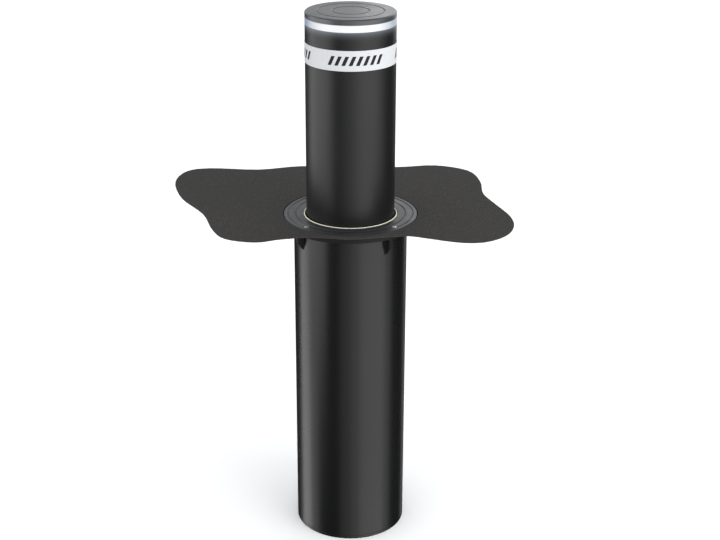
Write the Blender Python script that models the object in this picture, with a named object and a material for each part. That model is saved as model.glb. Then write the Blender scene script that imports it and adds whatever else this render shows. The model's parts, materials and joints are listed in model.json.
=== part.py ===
"""Retractable bollard: a steel tube that a motor screw lifts out of a buried casing.

Frame: origin at the centre of the base plate's underside, +Z up, -Y is the front.
The bollard is modelled raised, which is its rest pose.  Units are metres.
"""
import math

import bmesh
import bpy
from mathutils import Matrix, Vector

# ---------------------------------------------------------------- driving dimensions
TOUCH = 0.0003          # gap left between faces that rest on each other
BIG_SIDES = 48          # sides of the large round pieces
SMALL_SIDES = 16        # sides of the small round pieces

# travel and depth
RISE = 0.500            # how far the bollard rises
PROUD = 0.006           # how far the cap stands above the pavement when lowered
OVERLAP = 0.185         # length of tube that stays below the pavement when raised
LANDING = 0.045         # height of the lowered tube's foot above the drive deck

# rising tube
TUBE_R = 0.1095
TUBE_WALL = 0.006
CROSSHEAD_T = 0.020
COLLAR_H = 0.030        # stop collar around the tube's foot
COLLAR_CLEAR = 0.0060   # stop collar to casing bore, which the wear ring fills
RING_CLEAR = 0.0010     # wear ring to casing bore
WEAR_RING_H = 0.024
BAND_T = 0.0005
BAND_H = 0.0483
BAND_BELOW_HEAD = 0.0415    # band's top edge below the tube's top rim

# head of the tube
CAP_T = 0.0130
CAP_EDGE = 0.0012
LENS_H = 0.0167
LENS_T = 0.0060
STRIP_GAP = 0.0030
STRIP_T = 0.0020
STRIP_INSET = 0.0017    # LED strip's edges inside the lens's edges
CARRIER_T = 0.0060
HEAD_FLANGE_T = 0.012
CAP_SCREW_PITCH_R = 0.053
CAP_SCREW_R = 0.0030
CAP_SCREW_HEAD_R = 0.0050
CAP_SCREW_HEAD_H = 0.0040
CAP_SCREW_SUNK = 0.0004

# casing in the ground
ANNULUS = 0.0267        # gap between the tube and the casing's bore
CASING_WALL = 0.005
BASE_T = 0.008
FLANGE_OVERHANG = 0.0328
FLANGE_T = 0.0117
COVER_T = 0.0060
COVER_OVERHANG = 0.0250
SEAL_T = 0.0030
SEAL_CLEAR = 0.0037     # tube to wiper seal
SEAL_LIP = 0.0008
COVER_SCREW_R = 0.0040
COVER_SCREW_HEAD_R = 0.0062
COVER_SCREW_HEAD_H = 0.0040
COVER_SCREW_LENGTH = 0.016
COVER_SCREW_PROUD = 0.0010
COVER_SCREW_INSET = 0.0165
SCREW_CLEAR = 0.0003
GUSSET_T = 0.007
GUSSET_OUT = 0.016
GUSSET_EDGE_H = 0.030
GUSSET_H = 0.050
GUSSET_TURNS = (-52.0, 33.6, 128.0, 213.6)     # degrees from +X
PATCH_T = 0.0030
PATCH_GAP = 0.0013      # between the patch's hole and the cover ring

# guide under the flange
BUSH_CLEAR = 0.0018     # tube to guide bush
BUSH_T = 0.0080
GUIDE_COLLAR_T = 0.0125
STOP_AIR = 0.003        # raised stop collar to the guide collar that stops it
BUSH_SETBACK = 0.002    # bush's lower end inside the guide collar

# guide rods, screw and drive
ROD_R = 0.010
ROD_COUNT = 3
LINER_T = 0.0055
LINER_H = 0.050
LINER_DROP = 0.013
RUNNING = 0.0004        # radial running clearance on rods and screw
COIL_CLEAR = 0.0090     # lamp cable coil to tube bore
COIL_T = 0.008
COIL_TO_RODS = 0.006
SPIDER_ABOVE_FOOT = 0.060
SPIDER_T = 0.012
SPIDER_CLEAR = 0.0055
SCREW_R = 0.0125
SCREW_JOURNAL_R = 0.0100
SCREW_TOP_R = 0.0090
NUT_R = 0.0200
NUT_FLANGE_R = 0.0300
NUT_FLANGE_T = 0.010
NUT_H = 0.057
NUT_DROP = 0.020
NUT_SIDES = 32
THRUST_R = 0.032
THRUST_H = 0.020
TOP_BEARING_R = 0.022
TOP_BEARING_H = 0.016
JOURNAL_PROUD = 0.001   # lower journal above its bearing
SCREW_SHOULDER = 0.002  # screw's shoulder below its top bearing
SCREW_PROUD = 0.005     # screw's end above the spider
SCREW_FOOT_AIR = 0.0015     # screw's foot above the gear case's floor
DECK_TOP = 0.130
DECK_T = 0.012
DECK_CLEAR = 0.0015
POST_R = 0.010
POST_INSET = 0.017
BUFFER_R = 0.014
BUFFER_CLEAR = 0.0015
SENSOR_R = 0.006
SENSOR_H = 0.034
SENSOR_AIR = 0.004

# gears and motor
MODULE = 0.0025
GEAR_TEETH = 42
PINION_TEETH = 18
PRESSURE_ANGLE = math.radians(20.0)
BACKLASH = 0.0004
GEAR_T = 0.014
GEAR_DROP = 0.010       # gear's top face below the deck
GEAR_AIR = 0.003        # tooth tips to the gear case's wall
CASE_WALL = 0.003
CASE_FLOOR = 0.004
CASE_DEPTH = 0.0327
SHAFT_R = 0.006
MOTOR_R = 0.034
MOTOR_H = 0.054
MOTOR_SIDES = 32
BRAKE_R = 0.028
BRAKE_H = 0.015
BRAKE_GAP = 0.003       # brake coil to motor
SHAFT_FOOT = 0.001      # shaft's foot inside the brake coil
SHAFT_PROUD = 0.004     # shaft above the pinion
CASE_ARC_STEPS = (20, 10)   # straight pieces around the gear and the pinion

# services at the back of the casing
CONDUIT_Z = 0.096
CONDUIT_R = 0.0205
CONDUIT_WALL = 0.0045
CONDUIT_COLLAR = 0.003
CONDUIT_OUT = 0.036
DRAIN_Z = 0.040
DRAIN_R = 0.0160
DRAIN_WALL = 0.0035
DRAIN_OUT = 0.030
STUB_IN = 0.010
BOX_SIZE = (0.044, 0.070, 0.048)
BOX_X = -0.064
BOX_EDGE = 0.003

# the patch of pavement around the flange: centre-line points of its wavy edge
PATCH_EDGE = (
    (0.000, -0.186), (0.080, -0.171), (0.139, -0.163), (0.186, -0.179), (0.258, -0.205),
    (0.318, -0.203), (0.372, -0.161), (0.398, -0.097), (0.396, -0.025), (0.369, 0.061),
    (0.344, 0.145), (0.344, 0.245), (0.318, 0.335), (0.232, 0.380), (0.130, 0.365),
    (0.000, 0.369), (-0.136, 0.371), (-0.250, 0.341), (-0.380, 0.352), (-0.442, 0.325),
    (-0.463, 0.235), (-0.432, 0.107), (-0.367, -0.010), (-0.334, -0.121), (-0.298, -0.183),
    (-0.225, -0.206), (-0.166, -0.186), (-0.090, -0.173),
)
PATCH_STEPS = 4         # straight pieces between two edge points

# ---------------------------------------------------------------- worked-out sizes
TUBE_BORE = TUBE_R - TUBE_WALL
CASING_BORE = TUBE_R + ANNULUS
CASING_R = CASING_BORE + CASING_WALL
FLANGE_R = CASING_R + FLANGE_OVERHANG
COVER_R = CASING_R + COVER_OVERHANG
SEAL_R = TUBE_R + SEAL_CLEAR
BUSH_BORE = TUBE_R + BUSH_CLEAR
BUSH_R = BUSH_BORE + BUSH_T
COLLAR_R = CASING_BORE - COLLAR_CLEAR

TUBE_FOOT = DECK_TOP + LANDING + RISE
GROUND = TUBE_FOOT + OVERLAP
CAP_TOP = GROUND + RISE + PROUD
LENS_TOP = CAP_TOP - CAP_T - TOUCH
TUBE_TOP = LENS_TOP - LENS_H - TOUCH
COVER_BOTTOM = GROUND - COVER_T
FLANGE_TOP = COVER_BOTTOM - TOUCH
FLANGE_BOTTOM = FLANGE_TOP - FLANGE_T
GUIDE_BOTTOM = TUBE_FOOT + COLLAR_H + STOP_AIR

COIL_R = TUBE_BORE - COIL_CLEAR
ROD_PITCH_R = COIL_R - COIL_T - COIL_TO_RODS - ROD_R
SPIDER_BOTTOM = TUBE_FOOT + SPIDER_ABOVE_FOOT
SPIDER_TOP = SPIDER_BOTTOM + SPIDER_T
DECK_R = CASING_BORE - DECK_CLEAR
DECK_BOTTOM = DECK_TOP - DECK_T
GEAR_Z = DECK_BOTTOM - GEAR_DROP - GEAR_T
CASE_BOTTOM = DECK_BOTTOM - CASE_DEPTH
MOTOR_X = MODULE * (GEAR_TEETH + PINION_TEETH) / 2
MOTOR_Z = CASE_BOTTOM - TOUCH - MOTOR_H
BRAKE_Z = MOTOR_Z - BRAKE_GAP - BRAKE_H


# ---------------------------------------------------------------- materials
def material(name, colour, roughness, metallic=0.0):
    """One Principled material."""
    made = bpy.data.materials.new(name)
    made.use_nodes = True
    shader = made.node_tree.nodes["Principled BSDF"]
    shader.inputs["Base Color"].default_value = (*colour, 1.0)
    shader.inputs["Roughness"].default_value = roughness
    shader.inputs["Metallic"].default_value = metallic
    return made


FINISHES = {
    "powder_coat": ((0.030, 0.032, 0.031), 0.42, 0.0),
    "cast_cover": ((0.115, 0.120, 0.128), 0.38, 0.3),
    "cap_coat": ((0.160, 0.163, 0.162), 0.55, 0.0),
    "light_lens": ((0.900, 0.940, 1.000), 0.20, 0.0),
    "reflective_tape": ((0.820, 0.825, 0.830), 0.40, 0.0),
    "asphalt": ((0.055, 0.052, 0.050), 0.90, 0.0),
    "seal_polymer": ((0.780, 0.740, 0.580), 0.50, 0.0),
    "guide_polymer": ((0.030, 0.030, 0.030), 0.50, 0.0),
    "stainless": ((0.560, 0.560, 0.550), 0.28, 1.0),
    "ground_steel": ((0.480, 0.480, 0.480), 0.25, 1.0),
    "zinc_steel": ((0.520, 0.530, 0.540), 0.40, 1.0),
    "cast_alloy": ((0.450, 0.460, 0.470), 0.45, 1.0),
    "motor_coat": ((0.060, 0.065, 0.075), 0.45, 0.0),
    "bearing_bronze": ((0.550, 0.400, 0.180), 0.35, 1.0),
    "buffer_rubber": ((0.020, 0.020, 0.020), 0.80, 0.0),
    "cable_jacket": ((0.025, 0.025, 0.025), 0.55, 0.0),
    "circuit_board": ((0.050, 0.220, 0.090), 0.45, 0.0),
    "box_plastic": ((0.420, 0.430, 0.440), 0.50, 0.0),
    "sensor_body": ((0.600, 0.450, 0.200), 0.35, 1.0),
}


# ---------------------------------------------------------------- building helpers
def add_object(name, bm, finish, at=(0.0, 0.0, 0.0), turn=0.0, parent=None):
    """Puts a finished mesh in the scene as one named piece."""
    mesh = bpy.data.meshes.new(name)
    bm.to_mesh(mesh)
    bm.free()
    piece = bpy.data.objects.new(name, mesh)
    bpy.context.scene.collection.objects.link(piece)
    piece.rotation_euler.z = turn
    piece.location = at
    if parent is not None:
        piece.parent = parent
        piece.location = Vector(at) - parent.location
    if finish is None:
        piece.hide_render = True
        piece.display_type = 'WIRE'
    else:
        mesh.materials.append(material(name, *FINISHES[finish]))
        mesh.shade_smooth()
        mesh.set_sharp_from_angle(angle=math.radians(30))
    return piece


def spun(profile, sides):
    """Mesh of a (radius, height) outline turned about Z; a ring unless it ends on the axis."""
    bm = bmesh.new()
    verts = [bm.verts.new((radius, 0.0, height)) for radius, height in profile]
    pairs = list(zip(verts, verts[1:]))
    if profile[0][0] > 0.0:
        pairs.append((verts[-1], verts[0]))
    edges = [bm.edges.new(pair) for pair in pairs]
    bmesh.ops.spin(bm, geom=verts + edges, cent=(0, 0, 0), axis=(0, 0, 1),
                   angle=math.tau, steps=sides, use_merge=True)
    bmesh.ops.remove_doubles(bm, verts=bm.verts, dist=1e-6)
    bmesh.ops.recalc_face_normals(bm, faces=bm.faces)
    return bm


def turned(name, profile, finish, sides=BIG_SIDES, **place):
    """A turned piece."""
    return add_object(name, spun(profile, sides), finish, **place)


def ring_profile(inner, outer, height):
    """Outline of a plain ring."""
    return [(inner, 0.0), (outer, 0.0), (outer, height), (inner, height)]


def rod_profile(radius, height):
    """Outline of a plain round bar."""
    return [(0.0, 0.0), (radius, 0.0), (radius, height), (0.0, height)]


def stepped_profile(steps):
    """Outline of a round bar from (radius, top height) steps, listed upwards from height 0."""
    profile = [(0.0, 0.0)]
    low = 0.0
    for radius, high in steps:
        profile += [(radius, low), (radius, high)]
        low = high
    return profile + [(0.0, low)]


def prism(outline, height):
    """Mesh of a flat outline raised to a height."""
    bm = bmesh.new()
    face = bm.faces.new([bm.verts.new((x, y, 0.0)) for x, y in outline])
    raised = bmesh.ops.extrude_face_region(bm, geom=[face])
    tops = [item for item in raised["geom"] if isinstance(item, bmesh.types.BMVert)]
    bmesh.ops.translate(bm, verts=tops, vec=(0.0, 0.0, height))
    bmesh.ops.recalc_face_normals(bm, faces=bm.faces)
    return bm


def boolean(piece, tool, operation='DIFFERENCE'):
    """Adds a Boolean of one piece with a hidden tool."""
    modifier = piece.modifiers.new(tool.name, 'BOOLEAN')
    modifier.operation = operation
    modifier.object = tool
    modifier.solver = 'EXACT'


def bore(piece, radius, centres, bottom, top, sides=SMALL_SIDES):
    """Cuts upright round holes at (x, y) centres, between two heights."""
    bm = bmesh.new()
    for x, y in centres:
        middle = Matrix.Translation((x, y, (bottom + top) / 2))
        bmesh.ops.create_cone(bm, cap_ends=True, segments=sides, radius1=radius,
                              radius2=radius, depth=top - bottom, matrix=middle)
    boolean(piece, add_object(piece.name + "_bore", bm, None))


def on_circle(radius, count, start=0.0):
    """Evenly spaced (x, y) points on a circle."""
    angles = [start + math.tau * k / count for k in range(count)]
    return [(radius * math.cos(a), radius * math.sin(a)) for a in angles]


def arc(centre_x, radius, start, end, steps):
    """Points of an arc about (centre_x, 0)."""
    angles = [start + (end - start) * k / steps for k in range(steps + 1)]
    return [(centre_x + radius * math.cos(a), radius * math.sin(a)) for a in angles]


def gear_outline(teeth, turn):
    """Outline of a spur gear with involute flanks, its first tooth at the turn angle."""
    pitch_r = MODULE * teeth / 2
    base_r = pitch_r * math.cos(PRESSURE_ANGLE)
    root_r = pitch_r - 1.25 * MODULE
    tip_r = pitch_r + MODULE
    half_tooth = (math.pi * MODULE / 2 - BACKLASH) / (2 * pitch_r)
    offset = math.tan(PRESSURE_ANGLE) - PRESSURE_ANGLE
    flank = []
    for radius in sorted({root_r, max(base_r, root_r), pitch_r, tip_r}):
        roll = math.acos(min(1.0, base_r / radius))
        flank.append((radius, half_tooth + offset - (math.tan(roll) - roll)))
    outline = []
    for k in range(teeth):
        middle = turn + math.tau * k / teeth
        sides = [(r, middle - a) for r, a in flank] + [(r, middle + a) for r, a in flank[::-1]]
        outline += [(r * math.cos(a), r * math.sin(a)) for r, a in sides]
    return outline


def smooth_loop(points, steps):
    """Closed Catmull-Rom curve through the points."""
    curve = []
    count = len(points)
    for k in range(count):
        a, b, c, d = (Vector(points[(k + shift) % count]) for shift in (-1, 0, 1, 2))
        for step in range(steps):
            t = step / steps
            point = 0.5 * (2 * b + (c - a) * t + (2 * a - 5 * b + 4 * c - d) * t ** 2
                           + (3 * b - a - 3 * c + d) * t ** 3)
            curve.append((point.x, point.y))
    return curve


def empty(name, at):
    """An axis that moving pieces hang on."""
    axis = bpy.data.objects.new(name, None)
    axis.location = at
    bpy.context.scene.collection.objects.link(axis)
    return axis


# ---------------------------------------------------------------- casing in the ground
def stub(name, height, outer, wall, out, collar):
    """A hollow stub through the back of the casing, with a collar outside it."""
    start = CASING_BORE - STUB_IN
    seat = CASING_R + TOUCH - start
    end = CASING_R + out - start
    profile = [(outer - wall, 0.0), (outer, 0.0), (outer, seat), (outer + collar, seat),
               (outer + collar, seat + collar), (outer, seat + collar), (outer, end),
               (outer - wall, end)]
    piece = turned(name, profile, "zinc_steel", SMALL_SIDES, at=(0.0, start, height))
    piece.rotation_euler = (-math.pi / 2, 0.0, 0.0)


def casing():
    """Base plate, casing tube with its two stubs, top flange and gussets.

    The flange is recessed for the cover ring, and its shoulder carries the pavement.
    """
    turned("base_plate", rod_profile(CASING_R, BASE_T), "powder_coat")
    bottom = BASE_T + TOUCH
    tube = turned("casing_tube", ring_profile(CASING_BORE, CASING_R,
                                              FLANGE_BOTTOM - TOUCH - bottom),
                  "powder_coat", at=(0.0, 0.0, bottom))
    for height, radius in ((CONDUIT_Z, CONDUIT_R), (DRAIN_Z, DRAIN_R)):
        hole = spun(rod_profile(radius + TOUCH, CASING_WALL + 2 * STUB_IN), SMALL_SIDES)
        cutter = add_object("casing_hole", hole, None, at=(0.0, CASING_BORE - STUB_IN, height))
        cutter.rotation_euler = (-math.pi / 2, 0.0, 0.0)
        boolean(tube, cutter)
    stub("conduit_socket", CONDUIT_Z, CONDUIT_R, CONDUIT_WALL, CONDUIT_OUT, CONDUIT_COLLAR)
    stub("drain_spigot", DRAIN_Z, DRAIN_R, DRAIN_WALL, DRAIN_OUT, CONDUIT_COLLAR)

    recess_r = COVER_R + PATCH_GAP
    shoulder = COVER_T - PATCH_T
    profile = [(BUSH_R + TOUCH, 0.0), (FLANGE_R, 0.0), (FLANGE_R, FLANGE_T + shoulder),
               (recess_r, FLANGE_T + shoulder), (recess_r, FLANGE_T), (BUSH_R + TOUCH, FLANGE_T)]
    flange = turned("top_flange", profile, "powder_coat", at=(0.0, 0.0, FLANGE_BOTTOM))
    bore(flange, COVER_SCREW_R + SCREW_CLEAR, cover_screw_places(),
         FLANGE_BOTTOM - FLANGE_T, FLANGE_TOP + FLANGE_T)

    inner = CASING_R + TOUCH
    for k, turn in enumerate(GUSSET_TURNS):
        outline = [(inner, 0.0), (inner, -GUSSET_H), (inner + GUSSET_OUT, -GUSSET_EDGE_H),
                   (inner + GUSSET_OUT, 0.0)]
        plate = prism(outline, GUSSET_T)
        upright = Matrix.Rotation(math.pi / 2, 4, 'X')
        bmesh.ops.translate(plate, verts=plate.verts, vec=(0.0, 0.0, -GUSSET_T / 2))
        bmesh.ops.transform(plate, matrix=upright, verts=plate.verts)
        add_object(f"flange_gusset_{k + 1}", plate, "powder_coat",
                   at=(0.0, 0.0, FLANGE_BOTTOM - TOUCH), turn=math.radians(turn))


def cover_screw_places():
    """Where the cover ring's four screws stand."""
    return on_circle(COVER_R - COVER_SCREW_INSET, 4, math.pi / 4)


def cover():
    """Cover ring, its screws, the wiper seal and the patch of pavement."""
    seal_outer = SEAL_R + SEAL_T
    ring = turned("cover_ring", ring_profile(seal_outer + TOUCH, COVER_R, COVER_T),
                  "cast_cover", at=(0.0, 0.0, COVER_BOTTOM))
    head_seat = GROUND + COVER_SCREW_PROUD - COVER_SCREW_HEAD_H
    bore(ring, COVER_SCREW_R + SCREW_CLEAR, cover_screw_places(),
         COVER_BOTTOM - COVER_T, GROUND + COVER_T)
    bore(ring, COVER_SCREW_HEAD_R + SCREW_CLEAR, cover_screw_places(),
         head_seat - TOUCH, GROUND + COVER_T)

    for k, (x, y) in enumerate(cover_screw_places()):
        shank = COVER_SCREW_LENGTH - COVER_SCREW_HEAD_H
        profile = stepped_profile([(COVER_SCREW_R, shank),
                                   (COVER_SCREW_HEAD_R, COVER_SCREW_LENGTH)])
        turned(f"cover_ring_screw_{k + 1}", profile, "stainless", SMALL_SIDES,
               at=(x, y, head_seat - shank))

    turned("wiper_seal", ring_profile(SEAL_R, seal_outer, COVER_T + SEAL_LIP),
           "seal_polymer", at=(0.0, 0.0, COVER_BOTTOM))

    patch_bottom = GROUND - PATCH_T
    patch = add_object("pavement_patch", prism(smooth_loop(PATCH_EDGE, PATCH_STEPS), PATCH_T),
                       "asphalt", at=(0.0, 0.0, patch_bottom))
    bore(patch, COVER_R + PATCH_GAP, [(0.0, 0.0)], patch_bottom - PATCH_T,
         patch_bottom + 2 * PATCH_T, BIG_SIDES)


def guide():
    """Guide collar bolted under the flange, and its bush."""
    bush_bottom = GUIDE_BOTTOM + BUSH_SETBACK
    turned("guide_bush", ring_profile(BUSH_BORE, BUSH_R, FLANGE_TOP - bush_bottom),
           "guide_polymer", at=(0.0, 0.0, bush_bottom))
    inner = BUSH_R + TOUCH
    turned("guide_collar", ring_profile(inner, inner + GUIDE_COLLAR_T,
                                        FLANGE_BOTTOM - TOUCH - GUIDE_BOTTOM),
           "cast_alloy", at=(0.0, 0.0, GUIDE_BOTTOM))


# ---------------------------------------------------------------- drive in the casing
def rod_places(start=0.0):
    """Where the guide rods stand, or the places turned from them."""
    return on_circle(ROD_PITCH_R, ROD_COUNT, start)


def drive_frame():
    """Drive deck on its posts, guide rods, top spider, bearings, buffers and sensors."""
    deck = turned("drive_deck", rod_profile(DECK_R, DECK_T), "zinc_steel",
                  at=(0.0, 0.0, DECK_BOTTOM))
    bore(deck, SCREW_JOURNAL_R + RUNNING, [(0.0, 0.0)], DECK_BOTTOM - DECK_T,
         DECK_TOP + DECK_T)
    post_bottom = BASE_T + TOUCH
    for k, (x, y) in enumerate(on_circle(DECK_R - POST_INSET, 3, math.pi / 3)):
        turned(f"deck_post_{k + 1}", rod_profile(POST_R, DECK_BOTTOM - TOUCH - post_bottom),
               "zinc_steel", SMALL_SIDES, at=(x, y, post_bottom))

    on_deck = DECK_TOP + TOUCH
    for k, (x, y) in enumerate(rod_places()):
        turned(f"guide_rod_{k + 1}", rod_profile(ROD_R, SPIDER_BOTTOM - TOUCH - on_deck),
               "ground_steel", SMALL_SIDES, at=(x, y, on_deck))
    for k, (x, y) in enumerate(rod_places(math.pi / 3)):
        turned(f"stop_buffer_{k + 1}", rod_profile(BUFFER_R, LANDING - TOUCH - BUFFER_CLEAR),
               "buffer_rubber", SMALL_SIDES, at=(x, y, on_deck))
    turned("thrust_bearing", ring_profile(SCREW_JOURNAL_R + RUNNING, THRUST_R, THRUST_H - TOUCH),
           "cast_alloy", SMALL_SIDES, at=(0.0, 0.0, on_deck))

    spider = turned("top_spider", rod_profile(TUBE_BORE - SPIDER_CLEAR, SPIDER_T),
                    "zinc_steel", at=(0.0, 0.0, SPIDER_BOTTOM))
    bore(spider, TOP_BEARING_R + TOUCH, [(0.0, 0.0)], SPIDER_BOTTOM - SPIDER_T,
         SPIDER_TOP + SPIDER_T)
    turned("top_bearing", ring_profile(SCREW_TOP_R + RUNNING, TOP_BEARING_R, TOP_BEARING_H),
           "cast_alloy", SMALL_SIDES,
           at=(0.0, 0.0, SPIDER_TOP - SPIDER_T / 2 - TOP_BEARING_H / 2))

    x, y = rod_places(math.pi / 6)[0]
    sensor = rod_profile(SENSOR_R, SENSOR_H)
    turned("upper_limit_sensor", sensor, "sensor_body", SMALL_SIDES,
           at=(x, y, SPIDER_BOTTOM - TOUCH - SENSOR_H))
    turned("lower_limit_sensor", sensor, "sensor_body", SMALL_SIDES, at=(x, y, on_deck))


def case_outline(wall):
    """Outline around the gear and the pinion, at a distance from their teeth."""
    big = MODULE * (GEAR_TEETH / 2 + 1) + GEAR_AIR + wall
    small = MODULE * (PINION_TEETH / 2 + 1) + GEAR_AIR + wall
    lean = math.acos((big - small) / MOTOR_X)
    gear_steps, pinion_steps = CASE_ARC_STEPS
    around_gear = arc(0.0, big, lean, math.tau - lean, gear_steps)
    return around_gear + arc(MOTOR_X, small, -lean, lean, pinion_steps)


def drive():
    """Gear case, motor and brake under the deck, and the junction box."""
    case_height = CASE_DEPTH - TOUCH
    case = add_object("gear_case", prism(case_outline(CASE_WALL), case_height), "cast_alloy",
                      at=(0.0, 0.0, CASE_BOTTOM))
    boolean(case, add_object("gear_case_hollow", prism(case_outline(0.0), case_height), None,
                             at=(0.0, 0.0, CASE_BOTTOM + CASE_FLOOR)))
    shaft_hole = SHAFT_R + RUNNING
    bore(case, shaft_hole, [(MOTOR_X, 0.0)], CASE_BOTTOM - CASE_FLOOR,
         CASE_BOTTOM + 2 * CASE_FLOOR)
    turned("motor_can", ring_profile(shaft_hole, MOTOR_R, MOTOR_H), "motor_coat",
           MOTOR_SIDES, at=(MOTOR_X, 0.0, MOTOR_Z))
    turned("brake_coil", ring_profile(shaft_hole, BRAKE_R, BRAKE_H), "motor_coat",
           MOTOR_SIDES, at=(MOTOR_X, 0.0, BRAKE_Z))
    length, width, height = BOX_SIZE
    outline = [(-length / 2, -width / 2), (length / 2, -width / 2), (length / 2, width / 2),
               (-length / 2, width / 2)]
    box = add_object("junction_box", prism(outline, height), "box_plastic",
                     at=(BOX_X, 0.0, BASE_T + TOUCH))
    edge = box.modifiers.new("edge", 'BEVEL')
    edge.width = BOX_EDGE
    edge.segments = 1


def rotors():
    """Lead screw with its gear on the bollard's axis, and the pinion on the motor's axis."""
    axis = empty("screw_axis", (0.0, 0.0, GEAR_Z))
    foot = CASE_BOTTOM + CASE_FLOOR + SCREW_FOOT_AIR
    journal_top = DECK_TOP + THRUST_H + JOURNAL_PROUD
    shoulder = SPIDER_TOP - SPIDER_T / 2 - TOP_BEARING_H / 2 - SCREW_SHOULDER
    steps = [(SCREW_JOURNAL_R, journal_top - foot), (SCREW_R, shoulder - foot),
             (SCREW_TOP_R, SPIDER_TOP + SCREW_PROUD - foot)]
    turned("lead_screw", stepped_profile(steps), "ground_steel", SMALL_SIDES,
           at=(0.0, 0.0, foot), parent=axis)
    gear = add_object("drive_gear", prism(gear_outline(GEAR_TEETH, 0.0), GEAR_T),
                      "bearing_bronze", at=(0.0, 0.0, GEAR_Z), parent=axis)
    bore(gear, SCREW_JOURNAL_R + TOUCH, [(0.0, 0.0)], GEAR_Z - GEAR_T, GEAR_Z + 2 * GEAR_T)

    axis = empty("motor_axis", (MOTOR_X, 0.0, GEAR_Z))
    gap_turn = math.pi / PINION_TEETH * ((PINION_TEETH + 1) % 2)
    pinion = add_object("pinion_shaft", prism(gear_outline(PINION_TEETH, gap_turn), GEAR_T),
                        "ground_steel", at=(MOTOR_X, 0.0, GEAR_Z), parent=axis)
    shaft_bottom = BRAKE_Z + SHAFT_FOOT
    shaft_top = GEAR_Z + GEAR_T + SHAFT_PROUD
    shaft = spun(rod_profile(SHAFT_R, shaft_top - shaft_bottom), SMALL_SIDES)
    boolean(pinion, add_object("pinion_shaft_bar", shaft, None,
                               at=(MOTOR_X, 0.0, shaft_bottom)), 'UNION')


# ---------------------------------------------------------------- rising bollard
def rising_tube(axis):
    """Bollard tube, its band, the crosshead with its nut and bushes, and the foot collar."""
    turned("bollard_tube", ring_profile(TUBE_BORE, TUBE_R, TUBE_TOP - TUBE_FOOT),
           "powder_coat", at=(0.0, 0.0, TUBE_FOOT), parent=axis)
    band_inner = TUBE_R + TOUCH
    turned("reflective_band", ring_profile(band_inner, band_inner + BAND_T, BAND_H),
           "reflective_tape", at=(0.0, 0.0, TUBE_TOP - BAND_BELOW_HEAD - BAND_H), parent=axis)

    turned("stop_collar", ring_profile(TUBE_R + TOUCH, COLLAR_R, COLLAR_H), "zinc_steel",
           at=(0.0, 0.0, TUBE_FOOT), parent=axis)
    turned("wear_ring", ring_profile(COLLAR_R + TOUCH, CASING_BORE - RING_CLEAR, WEAR_RING_H),
           "guide_polymer", at=(0.0, 0.0, TUBE_FOOT + (COLLAR_H - WEAR_RING_H) / 2), parent=axis)

    crosshead = turned("crosshead", rod_profile(TUBE_BORE - TOUCH, CROSSHEAD_T), "zinc_steel",
                       at=(0.0, 0.0, TUBE_FOOT), parent=axis)
    below = TUBE_FOOT - CROSSHEAD_T
    above = TUBE_FOOT + 2 * CROSSHEAD_T
    liner_r = ROD_R + RUNNING + LINER_T
    bore(crosshead, NUT_R + TOUCH, [(0.0, 0.0)], below, above, NUT_SIDES)
    bore(crosshead, liner_r + TOUCH, rod_places(), below, above)

    nut_bore = SCREW_R + RUNNING
    flange_top = NUT_DROP - TOUCH
    nut = [(nut_bore, 0.0), (NUT_R, 0.0), (NUT_R, flange_top - NUT_FLANGE_T),
           (NUT_FLANGE_R, flange_top - NUT_FLANGE_T), (NUT_FLANGE_R, flange_top),
           (NUT_R, flange_top), (NUT_R, NUT_H), (nut_bore, NUT_H)]
    turned("ball_nut", nut, "bearing_bronze", NUT_SIDES,
           at=(0.0, 0.0, TUBE_FOOT - NUT_DROP), parent=axis)
    for k, (x, y) in enumerate(rod_places()):
        turned(f"linear_bush_{k + 1}", ring_profile(ROD_R + RUNNING, liner_r, LINER_H),
               "bearing_bronze", SMALL_SIDES, at=(x, y, TUBE_FOOT - LINER_DROP), parent=axis)


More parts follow.
